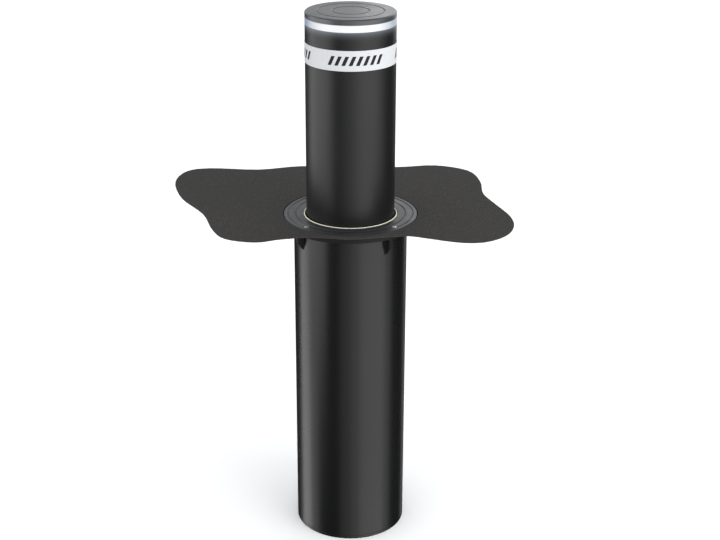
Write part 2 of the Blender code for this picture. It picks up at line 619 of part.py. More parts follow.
def head(axis):
    """Head flange, light ring and top cap with its screws."""
    flange_top = TUBE_TOP - TUBE_WALL
    inner = turned("head_flange", rod_profile(TUBE_BORE - TOUCH, HEAD_FLANGE_T), "zinc_steel",
                   at=(0.0, 0.0, flange_top - HEAD_FLANGE_T), parent=axis)
    places = on_circle(CAP_SCREW_PITCH_R, 4, math.pi / 4)
    bore(inner, CAP_SCREW_R + SCREW_CLEAR, places, flange_top - 2 * HEAD_FLANGE_T,
         flange_top + HEAD_FLANGE_T)

    lens_inner = TUBE_R - LENS_T
    strip_inner = lens_inner - STRIP_GAP - STRIP_T
    turned("light_lens", ring_profile(lens_inner, TUBE_R, LENS_H), "light_lens",
           at=(0.0, 0.0, TUBE_TOP + TOUCH), parent=axis)
    turned("led_strip", ring_profile(strip_inner, strip_inner + STRIP_T,
                                     LENS_H - 2 * STRIP_INSET),
           "circuit_board", at=(0.0, 0.0, TUBE_TOP + STRIP_INSET), parent=axis)
    turned("led_carrier", ring_profile(strip_inner - TOUCH - CARRIER_T, strip_inner - TOUCH,
                                       LENS_TOP - flange_top - TOUCH),
           "cast_alloy", at=(0.0, 0.0, flange_top + TOUCH), parent=axis)

    cap_bottom = CAP_TOP - CAP_T
    cap = turned("top_cap", [(0.0, 0.0), (TUBE_R, 0.0), (TUBE_R, CAP_T - CAP_EDGE),
                             (TUBE_R - CAP_EDGE, CAP_T), (0.0, CAP_T)], "cap_coat",
                 at=(0.0, 0.0, cap_bottom), parent=axis)
    bore(cap, CAP_SCREW_R + SCREW_CLEAR, places, cap_bottom - CAP_T, CAP_TOP + CAP_T)
    seat = CAP_TOP - CAP_SCREW_SUNK - CAP_SCREW_HEAD_H
    bore(cap, CAP_SCREW_HEAD_R + SCREW_CLEAR, places, seat - TOUCH, CAP_TOP + CAP_T)
    shank_bottom = flange_top - HEAD_FLANGE_T / 2
    for k, (x, y) in enumerate(places):
        profile = stepped_profile([(CAP_SCREW_R, seat - shank_bottom),
                                   (CAP_SCREW_HEAD_R, seat - shank_bottom + CAP_SCREW_HEAD_H)])
        turned(f"cap_screw_{k + 1}", profile, "stainless", SMALL_SIDES,
               at=(x, y, shank_bottom), parent=axis)


def lamp_cable():
    """Coiled cable between the spider and the head, as one hollow sleeve."""
    bottom = SPIDER_TOP + TOUCH
    top = TUBE_TOP - TUBE_WALL - HEAD_FLANGE_T - TOUCH
    turned("lamp_cable", ring_profile(COIL_R - COIL_T, COIL_R, top - bottom), "cable_jacket",
           at=(0.0, 0.0, bottom))


# ---------------------------------------------------------------- assembly
def main():
    for old in list(bpy.data.objects):
        bpy.data.objects.remove(old)
    casing()
    cover()
    guide()
    drive_frame()
    drive()
    rotors()
    lift_axis = empty("lift_axis", (0.0, 0.0, TUBE_FOOT))
    rising_tube(lift_axis)
    head(lift_axis)
    lamp_cable()


main()
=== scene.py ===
"""Finished pieces of a retractable bollard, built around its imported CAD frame.

The bollard stands raised out of its casing.  Lengths are metres, +Z is up and -Y is the front.
"""
import json
import math

import bpy
from bpy.props import FloatProperty, FloatVectorProperty, IntProperty, PointerProperty
from mathutils import Matrix, Vector


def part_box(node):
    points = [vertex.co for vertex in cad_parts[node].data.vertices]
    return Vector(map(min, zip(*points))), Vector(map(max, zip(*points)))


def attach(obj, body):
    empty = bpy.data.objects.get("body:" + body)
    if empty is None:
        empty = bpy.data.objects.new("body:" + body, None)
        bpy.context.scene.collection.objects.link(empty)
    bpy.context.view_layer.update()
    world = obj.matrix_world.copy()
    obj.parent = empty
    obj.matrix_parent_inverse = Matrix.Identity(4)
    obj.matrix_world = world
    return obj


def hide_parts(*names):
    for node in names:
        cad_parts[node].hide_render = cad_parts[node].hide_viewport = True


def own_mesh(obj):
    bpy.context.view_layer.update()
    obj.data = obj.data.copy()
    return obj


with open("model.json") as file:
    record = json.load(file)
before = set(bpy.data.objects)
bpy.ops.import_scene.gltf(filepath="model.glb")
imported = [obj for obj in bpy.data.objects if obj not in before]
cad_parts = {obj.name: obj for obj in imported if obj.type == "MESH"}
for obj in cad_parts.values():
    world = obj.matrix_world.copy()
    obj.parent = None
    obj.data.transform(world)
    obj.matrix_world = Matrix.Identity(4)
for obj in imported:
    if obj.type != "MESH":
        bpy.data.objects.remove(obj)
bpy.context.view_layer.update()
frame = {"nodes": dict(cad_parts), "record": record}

bl_info = {
    "name": "Retractable Bollard",
    "version": (1, 0, 0),
    "blender": (4, 5, 0),
    "location": "View3D > Sidebar > Bollard",
    "description": "Builds the finished pieces of a retractable bollard around its frame",
    "category": "Add Mesh",
}

LARGE_SIDES = 144       # sides of the large turned pieces
SMALL_SIDES = 48        # sides of screws, rods and stubs
BEAD_SIDES = 10         # sides of a weld bead
HEXAGON = 6             # sides of sockets and nuts
MERGE = 0.00001         # points nearer than this are one
SMOOTH_ANGLE = math.radians(40)


# ---------------------------------------------------------------- what a user may change
def colour(name, description, default):
    """A colour that a user may change."""
    return FloatVectorProperty(name=name, description=description, default=default, size=3,
                               min=0.0, max=1.0, subtype='COLOR')


def length(name, description, default):
    """A length that a user may change."""
    return FloatProperty(name=name, description=description, default=default, min=0.0,
                         precision=4, subtype='DISTANCE', unit='LENGTH')


class BollardColours(bpy.types.PropertyGroup):
    """Colours of the bollard's finishes"""
    powder: colour("Powder coat", "Coat of the tube, casing and flange", (0.003, 0.0032, 0.0031))
    cap: colour("Cap", "Coat of the top cap", (0.038, 0.039, 0.042))
    cover: colour("Cover ring", "Coat of the cast cover ring", (0.017, 0.018, 0.0195))
    tape: colour("Tape", "Retroreflective tape", (0.545, 0.55, 0.56))
    marks: colour("Tape marks", "Slanted bars printed on the tape", (0.010, 0.010, 0.010))
    light: colour("Light", "Light that the lens ring gives", (0.05, 0.09, 0.18))
    asphalt: colour("Asphalt", "Binder of the pavement", (0.0312, 0.0290, 0.0273))
    stone: colour("Stone", "Worn stones in the pavement", (0.0520, 0.0490, 0.0465))
    seal: colour("Wiper seal", "Cream rubber of the wiper seal", (0.72, 0.70, 0.56))
    polymer: colour("Guide polymer", "Slippery black polymer of the guides", (0.012, 0.012, 0.012))
    zinc: colour("Zinc plate", "Zinc plated steel", (0.52, 0.53, 0.54))
    steel: colour("Ground steel", "Bare ground steel", (0.50, 0.50, 0.50))
    stainless: colour("Stainless steel", "Screws", (0.56, 0.56, 0.55))
    alloy: colour("Cast alloy", "Sand cast aluminium", (0.45, 0.46, 0.47))
    bronze: colour("Bronze", "Bearing bronze", (0.55, 0.40, 0.18))
    rubber: colour("Rubber", "Buffers and cable jackets", (0.018, 0.018, 0.018))


class BollardSizes(bpy.types.PropertyGroup):
    """Sizes of the detail that the finished pieces add to the frame"""
    edge: length("Edge radius", "Rounding of machined and coated edges", 0.0006)
    groove_width: length("Groove width", "Width of the turned grooves", 0.0044)
    groove_depth: length("Groove depth", "Depth of the turned grooves", 0.0020)
    cap_chamfer: length("Cap chamfer", "Chamfer around the cap", 0.0026)
    cap_groove_inner: length("Inner cap groove", "Radius of the cap's inner groove", 0.0445)
    cap_groove_outer: length("Outer cap groove", "Radius of the cap's outer groove", 0.0800)
    cover_groove_inner: length("Inner cover groove", "Radius of the inner groove", 0.1365)
    cover_groove_outer: length("Outer cover groove", "Radius of the outer groove", 0.1555)
    # painted glow: how far down the tube the coat's painted emission below the lens ring reaches
    painted_glow_reach: length("Glow reach", "How far the light runs down the tube", 0.030)
    bar_height: length("Bar height", "Height of the bars printed on the tape", 0.022)
    bar_pitch: length("Bar pitch", "Distance from bar to bar around the tape", 0.017)
    bar_count: IntProperty(name="Bars", default=8, min=1, max=20,
                           description="Bars in each printed group")
    bar_gap: length("Bar gap", "Blank tape between two groups of bars", 0.057)
    bar_turn: FloatProperty(name="Bar turn", default=math.radians(-26.5), subtype='ANGLE',
                            description="Where the front group starts, from the front to +X")
    prism_cell: length("Prism cell", "Size of the tape's prism cells", 0.0035)
    stone_size: length("Stone size", "Size of the pavement's stones", 0.0052)
    stone_relief: length("Stone relief", "Height of the stones above the binder", 0.0004)
    weld: length("Weld radius", "Radius of the weld beads", 0.0022)
    thread_starts: IntProperty(name="Thread starts", default=4, min=1, max=8,
                               description="Threads that run side by side on the lead screw")
    thread_pitch: length("Thread pitch", "Distance from one thread to the next", 0.010)
    thread_depth: length("Thread depth", "Depth of the lead screw's threads", 0.0016)
    chip_count: IntProperty(name="Lamp chips", default=48, min=1, max=120,
                            description="Lamp chips on the circuit strip")


def colours():
    """The colours that are set now."""
    return bpy.context.scene.bollard_colours


def sizes():
    """The sizes that are set now."""
    return bpy.context.scene.bollard_sizes


# ---------------------------------------------------------------- reading the frame
def body_with(node):
    """Name of the body that carries a node."""
    bodies = frame["record"]["behaviour"]["bodies"]
    return next(body for body, nodes in bodies.items() if node in nodes)


def numbered(stem, count):
    """Names of a group of nodes that share a stem."""
    return [f"{stem}_{k}" for k in range(1, count + 1)]


def centre_of(node):
    """(x, y) of a node's own upright axis."""
    low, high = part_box(node)
    return (low[0] + high[0]) / 2, (low[1] + high[1]) / 2


def corners_of(node):
    """(radius, height) of each corner of a turned node, about its own upright axis."""
    x, y = centre_of(node)
    return [(math.hypot(vert.co.x - x, vert.co.y - y), vert.co.z)
            for vert in frame["nodes"][node].data.vertices]


def turned_size(node):
    """Inner radius, outer radius, bottom and top of a turned node about its own axis."""
    low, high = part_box(node)
    radii = [radius for radius, _ in corners_of(node)]
    return min(radii), max(radii), low[2], high[2]


def shank_of(node):
    """Shank radius of a screw's node, and the height where its head starts."""
    corners = corners_of(node)
    bottom = min(height for _, height in corners)
    shank_r = max(radius for radius, height in corners if height < bottom + MERGE)
    head_bottom = min(height for radius, height in corners if radius > shank_r + MERGE)
    return shank_r, head_bottom


def stub_size(node):
    """Height, bore, pipe and collar radii, near end, collar's near face and far end of a stub."""
    low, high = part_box(node)
    middle = (low[2] + high[2]) / 2
    corners = [(vert.co.y, math.hypot(vert.co.x, vert.co.z - middle))
               for vert in frame["nodes"][node].data.vertices]
    bore = min(radius for _, radius in corners)
    pipe = max(radius for y, radius in corners if y < low[1] + MERGE)
    collar = max(radius for _, radius in corners)
    seat = min(y for y, radius in corners if radius > collar - MERGE)
    return middle, bore, pipe, collar, low[1], seat, high[1]


# ---------------------------------------------------------------- modelling by hand
def start_clean():
    """Nothing selected, object mode."""
    if bpy.context.object is not None and bpy.context.object.mode != 'OBJECT':
        bpy.ops.object.mode_set(mode='OBJECT')
    bpy.ops.object.select_all(action='DESELECT')


def only(piece):
    """Makes a piece the only selected one, and the active one."""
    start_clean()
    piece.select_set(True)
    bpy.context.view_layer.objects.active = piece


def apply_modifier(piece, kind, **settings):
    """Adds a modifier to a piece and applies it."""
    only(piece)
    bpy.ops.object.modifier_add(type=kind)
    modifier = piece.modifiers[-1]
    for key, value in settings.items():
        setattr(modifier, key, value)
    bpy.ops.object.modifier_apply(modifier=modifier.name)


def soften(piece, width, segments=2):
    """Rounds the sharp edges of a piece."""
    apply_modifier(piece, 'BEVEL', width=width, segments=segments, limit_method='ANGLE',
                   angle_limit=SMOOTH_ANGLE, use_clamp_overlap=True)


def turned(name, outline, centre=(0.0, 0.0), sides=LARGE_SIDES, solid=False, edge=None):
    """A turned piece: one circle for each (radius, height) point, each extruded from the last."""
    start_clean()
    radius, height = outline[0]
    bpy.ops.mesh.primitive_circle_add(vertices=sides, radius=radius, location=(*centre, height),
                                      fill_type='NGON' if solid else 'NOTHING',
                                      enter_editmode=True)
    for next_radius, next_height in (outline[1:] if solid else [*outline[1:], outline[0]]):
        rise = (0.0, 0.0, next_height - height)
        bpy.ops.mesh.extrude_region_move(TRANSFORM_OT_translate={"value": rise})
        growth = next_radius / radius
        bpy.ops.transform.resize(value=(growth, growth, 1.0),
                                 center_override=(*centre, next_height))
        radius, height = next_radius, next_height
    bpy.ops.mesh.select_all(action='SELECT')
    bpy.ops.mesh.remove_doubles(threshold=MERGE)
    bpy.ops.mesh.normals_make_consistent(inside=False)
    bpy.ops.object.mode_set(mode='OBJECT')
    piece = bpy.context.object
    piece.name = name
    bpy.ops.object.transform_apply(location=True, rotation=True, scale=True)
    width = sizes().edge if edge is None else edge
    if width:
        soften(piece, width)
    return piece


def ring_outline(inner, outer, bottom, top):
    """Outline of a plain ring."""
    return [(inner, bottom), (outer, bottom), (outer, top), (inner, top)]


def groove(radius, top):
    """Outline points of a groove in a flat top, listed from the outside inwards."""
    half = sizes().groove_width / 2
    floor_half = half * 0.4
    floor = top - sizes().groove_depth
    return [(radius + half, top), (radius + floor_half, floor),
            (radius - floor_half, floor), (radius - half, top)]


def joined(pieces, name):
    """Several pieces as one mesh."""
    only(pieces[0])
    for piece in pieces:
        piece.select_set(True)
    bpy.ops.object.join()
    pieces[0].name = name
    return pieces[0]


def copied(piece, name):
    """A copy with a mesh of its own."""
    only(piece)
    bpy.ops.object.duplicate(linked=False)
    bpy.context.object.name = name
    return bpy.context.object


def placed(piece, at=(0.0, 0.0, 0.0), turn=0.0, lean=0.0):
    """Leans a piece about X, turns it about Z, moves it, and keeps its place in its mesh."""
    only(piece)
    piece.matrix_world = (Matrix.Translation(at) @ Matrix.Rotation(turn, 4, 'Z')
                          @ Matrix.Rotation(lean, 4, 'X'))
    bpy.ops.object.transform_apply(location=True, rotation=True, scale=True)
    return piece


def cut(piece, cutters):
    """Cuts the cutters out of a piece and removes them."""
    tool = joined(cutters, piece.name + "_cutter")
    apply_modifier(piece, 'BOOLEAN', operation='DIFFERENCE', solver='EXACT', object=tool)
    bpy.data.objects.remove(tool)


def finish(piece, finish_material, node, *more_nodes, slot):
    """Gives a piece its shading, finish and body; it stands for one or more CAD nodes."""
    only(piece)
    bpy.ops.object.shade_smooth_by_angle(angle=SMOOTH_ANGLE)
    apply_modifier(piece, 'WEIGHTED_NORMAL', keep_sharp=True)
    piece.data.materials.clear()
    piece.data.materials.append(finish_material)
    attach(piece, body_with(node))
    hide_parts(node, *more_nodes)
    return piece


def one_at_each(first, nodes):
    """A piece that stands at its first node, with a copy of it at each other node."""
    x, y = centre_of(nodes[0])
    pieces = [first]
    for node in nodes[1:]:
        new_x, new_y = centre_of(node)
        pieces.append(placed(copied(first, first.name), at=(new_x - x, new_y - y, 0.0)))
    return pieces


def screws(name, nodes, socket):
    """Socket screws with threaded shanks, one at each of their nodes."""
    centre = centre_of(nodes[0])
    _, head_r, bottom, top = turned_size(nodes[0])
    shank_r, head_bottom = shank_of(nodes[0])
    pitch = shank_r / 3
    root_r = shank_r * 5 / 6
    socket_rim = socket * 1.3
    socket_depth = 0.65 * (top - head_bottom)
    outline = [(root_r, bottom)]
    height = bottom + pitch / 2
    while height < head_bottom - pitch:
        outline += [(shank_r, height), (root_r, height + pitch / 2)]
        height += pitch
    rim = head_r / 12
    outline += [(shank_r, head_bottom), (head_r - rim, head_bottom), (head_r, head_bottom + rim),
                (head_r, top - 2 * rim), (head_r - 2 * rim, top), (socket_rim, top)]
    first = turned(name, outline, centre, SMALL_SIDES, solid=True, edge=0.0)
    start_clean()
    bpy.ops.mesh.primitive_cylinder_add(vertices=HEXAGON, radius=socket,
                                        location=(*centre, top), depth=2 * socket_depth)
    cut(first, [bpy.context.object])
    for piece, node in zip(one_at_each(first, nodes), nodes):
        finish(piece, stainless(), node, slot="stainless")


def screw_holes(nodes, bottom, top, flare):
    """Cutters for the screws' holes and for the sunk seats of their heads."""
    shank_r, seat = shank_of(nodes[0])
    head_r = turned_size(nodes[0])[1]
    room = sizes().edge / 2
    past = 2 * (top - bottom)
    hole_r = shank_r + room
    seat_r = head_r + room
    mouth_r = head_r + room + flare
    outline = [(hole_r, bottom - past), (hole_r, seat - room), (seat_r, seat - room),
               (seat_r, top - 2 * room), (mouth_r, top + room), (mouth_r, top + past)]
    first = turned("screw_hole", outline, centre_of(nodes[0]), SMALL_SIDES, solid=True, edge=0.0)
    return one_at_each(first, nodes)


# ---------------------------------------------------------------- shader building
def add_node(tree, kind, inputs=None, **settings):
    """Adds a shader node and fills its sockets from values or from other nodes' outputs."""
    made = tree.nodes.new(kind)
    for key, value in settings.items():
        setattr(made, key, value)
    for key, value in (inputs or {}).items():
        if isinstance(value, bpy.types.NodeSocket):
            tree.links.new(value, made.inputs[key])
        else:
            made.inputs[key].default_value = value
    return made


def maths(tree, operation, *values, clamp=False):
    """Output of a Math node."""
    return add_node(tree, 'ShaderNodeMath', dict(enumerate(values)), operation=operation,
                    use_clamp=clamp).outputs[0]


def ramp(tree, value, start, end, low, high, smooth=True):
    """Output of a Map Range node."""
    kind = 'SMOOTHSTEP' if smooth else 'LINEAR'
    inputs = {"Value": value, "From Min": start, "From Max": end, "To Min": low, "To Max": high}
    return add_node(tree, 'ShaderNodeMapRange', inputs, interpolation_type=kind).outputs[0]


def blend_colour(tree, factor, first, second, mode='MIX'):
    """Output of a colour Mix node."""
    made = add_node(tree, 'ShaderNodeMix', data_type='RGBA', blend_type=mode)
    for key, value in (("Factor_Float", factor), ("A_Color", first), ("B_Color", second)):
        socket = next(s for s in made.inputs if s.identifier == key)
        if isinstance(value, bpy.types.NodeSocket):
            tree.links.new(value, socket)
        else:
            socket.default_value = value
    return next(s for s in made.outputs if s.identifier == "Result_Color")


def shader_group(name, inputs, outputs):
    """An empty shader node group with its sockets, and its input and output nodes."""
    tree = bpy.data.node_groups.new(name, 'ShaderNodeTree')
    for label, kind, default in inputs:
        socket = tree.interface.new_socket(name=label, in_out='INPUT', socket_type=kind)
        if default is not None:
            socket.default_value = default
    for label in outputs:
        tree.interface.new_socket(name=label, in_out='OUTPUT', socket_type='NodeSocketFloat')
    return tree, tree.nodes.new('NodeGroupInput').outputs, tree.nodes.new('NodeGroupOutput')


def grain_group():
    """Shader group: fine grain in a coat or a casting, and the slow drift of its tone."""
    name = "surface_grain"
    if name in bpy.data.node_groups:
        return bpy.data.node_groups[name]
    tree, given, result = shader_group(
        name, [("Vector", 'NodeSocketVector', None), ("Grain", 'NodeSocketFloat', 0.001),
               ("Drift", 'NodeSocketFloat', 0.08)], ["Height", "Tone"])
    fine = maths(tree, 'DIVIDE', 1.0, given["Grain"])
    slow = maths(tree, 'DIVIDE', 1.0, given["Drift"])
    peel = add_node(tree, 'ShaderNodeTexNoise', {"Vector": given["Vector"], "Scale": fine,
                                                 "Detail": 3.0, "Roughness": 0.55})
    drift = add_node(tree, 'ShaderNodeTexNoise', {"Vector": given["Vector"], "Scale": slow,
                                                  "Detail": 4.0, "Roughness": 0.6})
    tree.links.new(peel.outputs[0], result.inputs["Height"])
    tree.links.new(ramp(tree, drift.outputs[0], 0.3, 0.7, 0.0, 1.0), result.inputs["Tone"])
    return tree


def around_group():
    """Shader group: distance around the axis and height, for what is wrapped on a tube."""
    name = "wrapped_places"
    if name in bpy.data.node_groups:
        return bpy.data.node_groups[name]
    tree, given, result = shader_group(
        name, [("Vector", 'NodeSocketVector', None), ("Radius", 'NodeSocketFloat', 0.11)],
        ["Around", "Height"])
    parts = add_node(tree, 'ShaderNodeSeparateXYZ', {0: given["Vector"]})
    backwards = maths(tree, 'MULTIPLY', parts.outputs[1], -1.0)
    angle = maths(tree, 'ARCTAN2', parts.outputs[0], backwards)
    tree.links.new(maths(tree, 'MULTIPLY', angle, given["Radius"]), result.inputs["Around"])
    tree.links.new(parts.outputs[2], result.inputs["Height"])
    return tree


def new_material(name, tone, roughness, metallic=0.0, specular=0.5):
    """A Principled material, its node tree, its shader and its Object coordinates."""
    made = bpy.data.materials.new(name)
    made.use_nodes = True
    tree = made.node_tree
    shader = tree.nodes["Principled BSDF"]
    shader.inputs["Base Color"].default_value = (*tone, 1.0)
    shader.inputs["Roughness"].default_value = roughness
    shader.inputs["Metallic"].default_value = metallic
    shader.inputs["Specular IOR Level"].default_value = specular
    place = tree.nodes.new('ShaderNodeTexCoord').outputs["Object"]
    return made, tree, shader, place


def grained(name, tone, roughness, metallic=0.0, specular=0.5, grain=0.0012, depth=0.00004,
            drift=0.09, spread=0.12, polish=0.06):
    """A coat, casting or metal whose tone and polish drift and whose surface has a fine grain."""
    if name in bpy.data.materials:
        return bpy.data.materials[name]
    made, tree, shader, place = new_material(name, tone, roughness, metallic, specular)
    group = add_node(tree, 'ShaderNodeGroup', node_tree=grain_group())
    tree.links.new(place, group.inputs["Vector"])
    group.inputs["Grain"].default_value = grain
    group.inputs["Drift"].default_value = drift
    dark = [channel * (1 - spread) for channel in tone]
    light = [min(1.0, channel * (1 + spread)) for channel in tone]
    mixed = blend_colour(tree, group.outputs["Tone"], (*dark, 1.0), (*light, 1.0))
    tree.links.new(mixed, shader.inputs["Base Color"])
    shine = ramp(tree, group.outputs["Tone"], 0.0, 1.0, roughness + polish, roughness - polish,
                 smooth=False)
    tree.links.new(shine, shader.inputs["Roughness"])
    bump = add_node(tree, 'ShaderNodeBump', {"Strength": 1.0, "Distance": depth,
                                             "Height": group.outputs["Height"]})
    tree.links.new(bump.outputs[0], shader.inputs["Normal"])
    return made


def powder_coat():
    """Satin black powder coat with its orange peel."""
    return grained("powder_coat", colours().powder, roughness=0.40, grain=0.0022,
                   depth=0.00002, drift=0.25, spread=0.10, polish=0.02)


def casing_coat():
    """The casing's coat, a little glossier."""
    return grained("casing_coat", colours().powder, roughness=0.28, grain=0.0026,
                   depth=0.000015, drift=0.30, spread=0.10, polish=0.02)


def flange_coat():
    """Matt coat of the flange and its gussets."""
    return grained("flange_coat", colours().powder, roughness=0.58, specular=0.28,
                   grain=0.0022, depth=0.00002, drift=0.10, spread=0.10, polish=0.03)


def lit_powder_coat():
    """The tube's powder coat, with a painted glow: bluish emission fading down from its top, in
    place of the light the lens ring spills.
    """
    painted_glow_power = 3.9
    painted_glow_colour = (0.135, 0.150, 0.175, 1.0)
    made = powder_coat().copy()
    made.name = "lit_powder_coat"
    tree = made.node_tree
    shader = tree.nodes["Principled BSDF"]
    place = next(n for n in tree.nodes if n.type == 'TEX_COORD').outputs["Object"]
    height = add_node(tree, 'ShaderNodeSeparateXYZ', {0: place}).outputs[2]
    top = turned_size("bollard_tube")[3]
    # painted glow: the coat itself emits a bluish light that fades from the tube's top downwards,
    # standing in for the lens ring's spill
    painted_glow_ramp = ramp(tree, height, top - sizes().painted_glow_reach, top, 0.0, 1.0, smooth=False)
    painted_glow_falloff = maths(tree, 'POWER', painted_glow_ramp, painted_glow_power)
    tone = blend_colour(tree, painted_glow_falloff, (0.0, 0.0, 0.0, 1.0), painted_glow_colour)
    tree.links.new(tone, shader.inputs["Emission Color"])
    shader.inputs["Emission Strength"].default_value = 1.0
    return made


def cover_coat():
    """Dark coat of the cast cover ring."""
    return grained("cover_coat", colours().cover, roughness=0.38, specular=0.45,
                   grain=0.0018, depth=0.00006, drift=0.05, spread=0.18, polish=0.04)


def cap_coat():
    """Grey coat of the top cap."""
    return grained("grey_cap_coat", colours().cap, roughness=0.34, specular=0.88,
                   grain=0.0016, depth=0.00005, drift=0.06, spread=0.10, polish=0.03)


def lens_glow():
    """Opal lens, lit from inside: it gives most light straight out, and less aslant."""
    opal = (0.235, 0.245, 0.25)
    brightest = (0.60, 0.60, 0.60, 1.0)
    made, tree, shader, place = new_material("lens_glow", opal, roughness=0.35)
    group = add_node(tree, 'ShaderNodeGroup', node_tree=grain_group())
    tree.links.new(place, group.inputs["Vector"])
    group.inputs["Grain"].default_value = 0.004
    light = colours().light
    dim = [channel * 0.94 for channel in light]
    tone = blend_colour(tree, group.outputs["Tone"], (*dim, 1.0), (*light, 1.0))
    turned_away = tree.nodes.new('ShaderNodeLayerWeight').outputs["Facing"]
    square_on = ramp(tree, turned_away, 0.10, 0.75, 1.0, 0.0)
    core = blend_colour(tree, square_on, tone, brightest)
    tree.links.new(core, shader.inputs["Emission Color"])
    shader.inputs["Emission Strength"].default_value = 1.0
    return made


def chip_glow():
    """Phosphor of the lamp chips, lit."""
    phosphor = (0.80, 0.72, 0.40)
    made = grained("chip_glow", phosphor, roughness=0.4, grain=0.0006, depth=0.0)
    shader = made.node_tree.nodes["Principled BSDF"]
    shader.inputs["Emission Color"].default_value = (0.9, 0.95, 1.0, 1.0)
    shader.inputs["Emission Strength"].default_value = 1.0
    return made


def tape():
    """Retroreflective tape: prism cells, and groups of slanted printed bars."""
    paint = colours()
    size = sizes()
    slant = 0.45
    bar_share = 0.52
    printed_groups = 3
    bare, inky = 0.55, 0.65
    made, tree, shader, place = new_material("reflective_tape", paint.tape, bare, specular=0.3)
    _, radius, bottom, top = turned_size("reflective_band")
    wrap = add_node(tree, 'ShaderNodeGroup', node_tree=around_group())
    tree.links.new(place, wrap.inputs["Vector"])
    wrap.inputs["Radius"].default_value = radius
    around, height = wrap.outputs["Around"], wrap.outputs["Height"]

    lines = []
    for turn in (0.0, math.pi / 3, -math.pi / 3):
        across = maths(tree, 'MULTIPLY', around, math.pi * math.cos(turn) / size.prism_cell)
        up = maths(tree, 'MULTIPLY', height, math.pi * math.sin(turn) / size.prism_cell)
        wave = maths(tree, 'SINE', maths(tree, 'ADD', across, up))
        lines.append(maths(tree, 'ABSOLUTE', wave))
    least = maths(tree, 'MINIMUM', maths(tree, 'MINIMUM', lines[0], lines[1]), lines[2])
    cell = ramp(tree, least, 0.0, 0.35, 0.0, 1.0)

    middle = (bottom + top) / 2
    rise = maths(tree, 'SUBTRACT', height, middle)
    lean = maths(tree, 'SUBTRACT', around, maths(tree, 'MULTIPLY', rise, slant))
    group_width = size.bar_count * size.bar_pitch
    group_pitch = group_width + size.bar_gap
    first = size.bar_turn * radius - group_pitch
    from_first = maths(tree, 'SUBTRACT', lean, first)
    in_group = maths(tree, 'FRACT', maths(tree, 'DIVIDE', from_first, group_pitch))
    wide = maths(tree, 'LESS_THAN', in_group, group_width / group_pitch)
    along = maths(tree, 'FRACT', maths(tree, 'MULTIPLY', in_group, group_pitch / size.bar_pitch))
    bar = maths(tree, 'LESS_THAN', along, bar_share)
    tall = maths(tree, 'LESS_THAN', maths(tree, 'ABSOLUTE', rise), size.bar_height / 2)
    half_print = printed_groups / 2 * group_pitch
    from_middle = maths(tree, 'SUBTRACT', from_first, half_print)
    inside = maths(tree, 'LESS_THAN', maths(tree, 'ABSOLUTE', from_middle), half_print)
    printed = maths(tree, 'MULTIPLY', maths(tree, 'MULTIPLY', bar, tall),
                    maths(tree, 'MULTIPLY', wide, inside))

    shade = [channel * 0.86 for channel in paint.tape]
    white = blend_colour(tree, cell, (*shade, 1.0), (*paint.tape, 1.0))
    inked = blend_colour(tree, printed, white, (*paint.marks, 1.0))
    tree.links.new(inked, shader.inputs["Base Color"])
    tree.links.new(ramp(tree, printed, 0.0, 1.0, bare, inky), shader.inputs["Roughness"])
    bump = add_node(tree, 'ShaderNodeBump', {"Strength": 0.6, "Distance": 0.00008,
                                             "Height": cell})
    tree.links.new(bump.outputs[0], shader.inputs["Normal"])
    return made


def asphalt():
    """Pavement: dark binder between stones, some of them worn pale."""
    paint = colours()
    size = sizes()
    binder_rough, worn_rough = 0.92, 0.74
    made, tree, shader, place = new_material("asphalt", paint.asphalt, binder_rough,
                                             specular=0.25)
    stones = add_node(tree, 'ShaderNodeTexVoronoi', {"Vector": place,
                                                     "Scale": 1 / size.stone_size})
    dust = add_node(tree, 'ShaderNodeGroup', node_tree=grain_group())
    tree.links.new(place, dust.inputs["Vector"])
    dust.inputs["Grain"].default_value = 0.0016
    dust.inputs["Drift"].default_value = 0.16
    crown = ramp(tree, stones.outputs["Distance"], 0.10, 0.55, 1.0, 0.0)
    parts = add_node(tree, 'ShaderNodeSeparateColor', {0: stones.outputs["Color"]})
    pale = ramp(tree, parts.outputs[0], 0.35, 1.0, 0.12, 1.0, smooth=False)
    show = maths(tree, 'MULTIPLY', crown, pale)
    worn = maths(tree, 'MULTIPLY', show, ramp(tree, dust.outputs["Tone"], 0.0, 1.0, 0.75, 1.0))
    tone = blend_colour(tree, worn, (*paint.asphalt, 1.0), (*paint.stone, 1.0))
    sand = ramp(tree, dust.outputs["Height"], 0.35, 0.7, 0.82, 1.2)
    grey = add_node(tree, 'ShaderNodeCombineColor', {0: sand, 1: sand, 2: sand}).outputs[0]
    tree.links.new(blend_colour(tree, 1.0, tone, grey, 'MULTIPLY'), shader.inputs["Base Color"])
    rough = ramp(tree, worn, 0.0, 1.0, binder_rough, worn_rough)
    tree.links.new(rough, shader.inputs["Roughness"])
    relief = maths(tree, 'ADD', maths(tree, 'MULTIPLY', crown, 0.6),
                   maths(tree, 'MULTIPLY', dust.outputs["Height"], 0.6))
    bump = add_node(tree, 'ShaderNodeBump', {"Strength": 0.8, "Distance": 0.0005,
                                             "Height": relief})
    tree.links.new(bump.outputs[0], shader.inputs["Normal"])
    return made


def seal_rubber():
    """Cream rubber of the wiper seal."""
    return grained("seal_rubber", colours().seal, roughness=0.5, grain=0.0012,
                   depth=0.00003, drift=0.04, spread=0.08)


def guide_polymer():
    """Slippery black polymer."""
    return grained("black_guide_polymer", colours().polymer, roughness=0.5, grain=0.001,
                   depth=0.00003)


def zinc():
    """Zinc plated steel with its cloudy spangle."""
    return grained("zinc_plate", colours().zinc, roughness=0.38, metallic=1.0, grain=0.004,
                   depth=0.00003, drift=0.02, spread=0.14, polish=0.08)


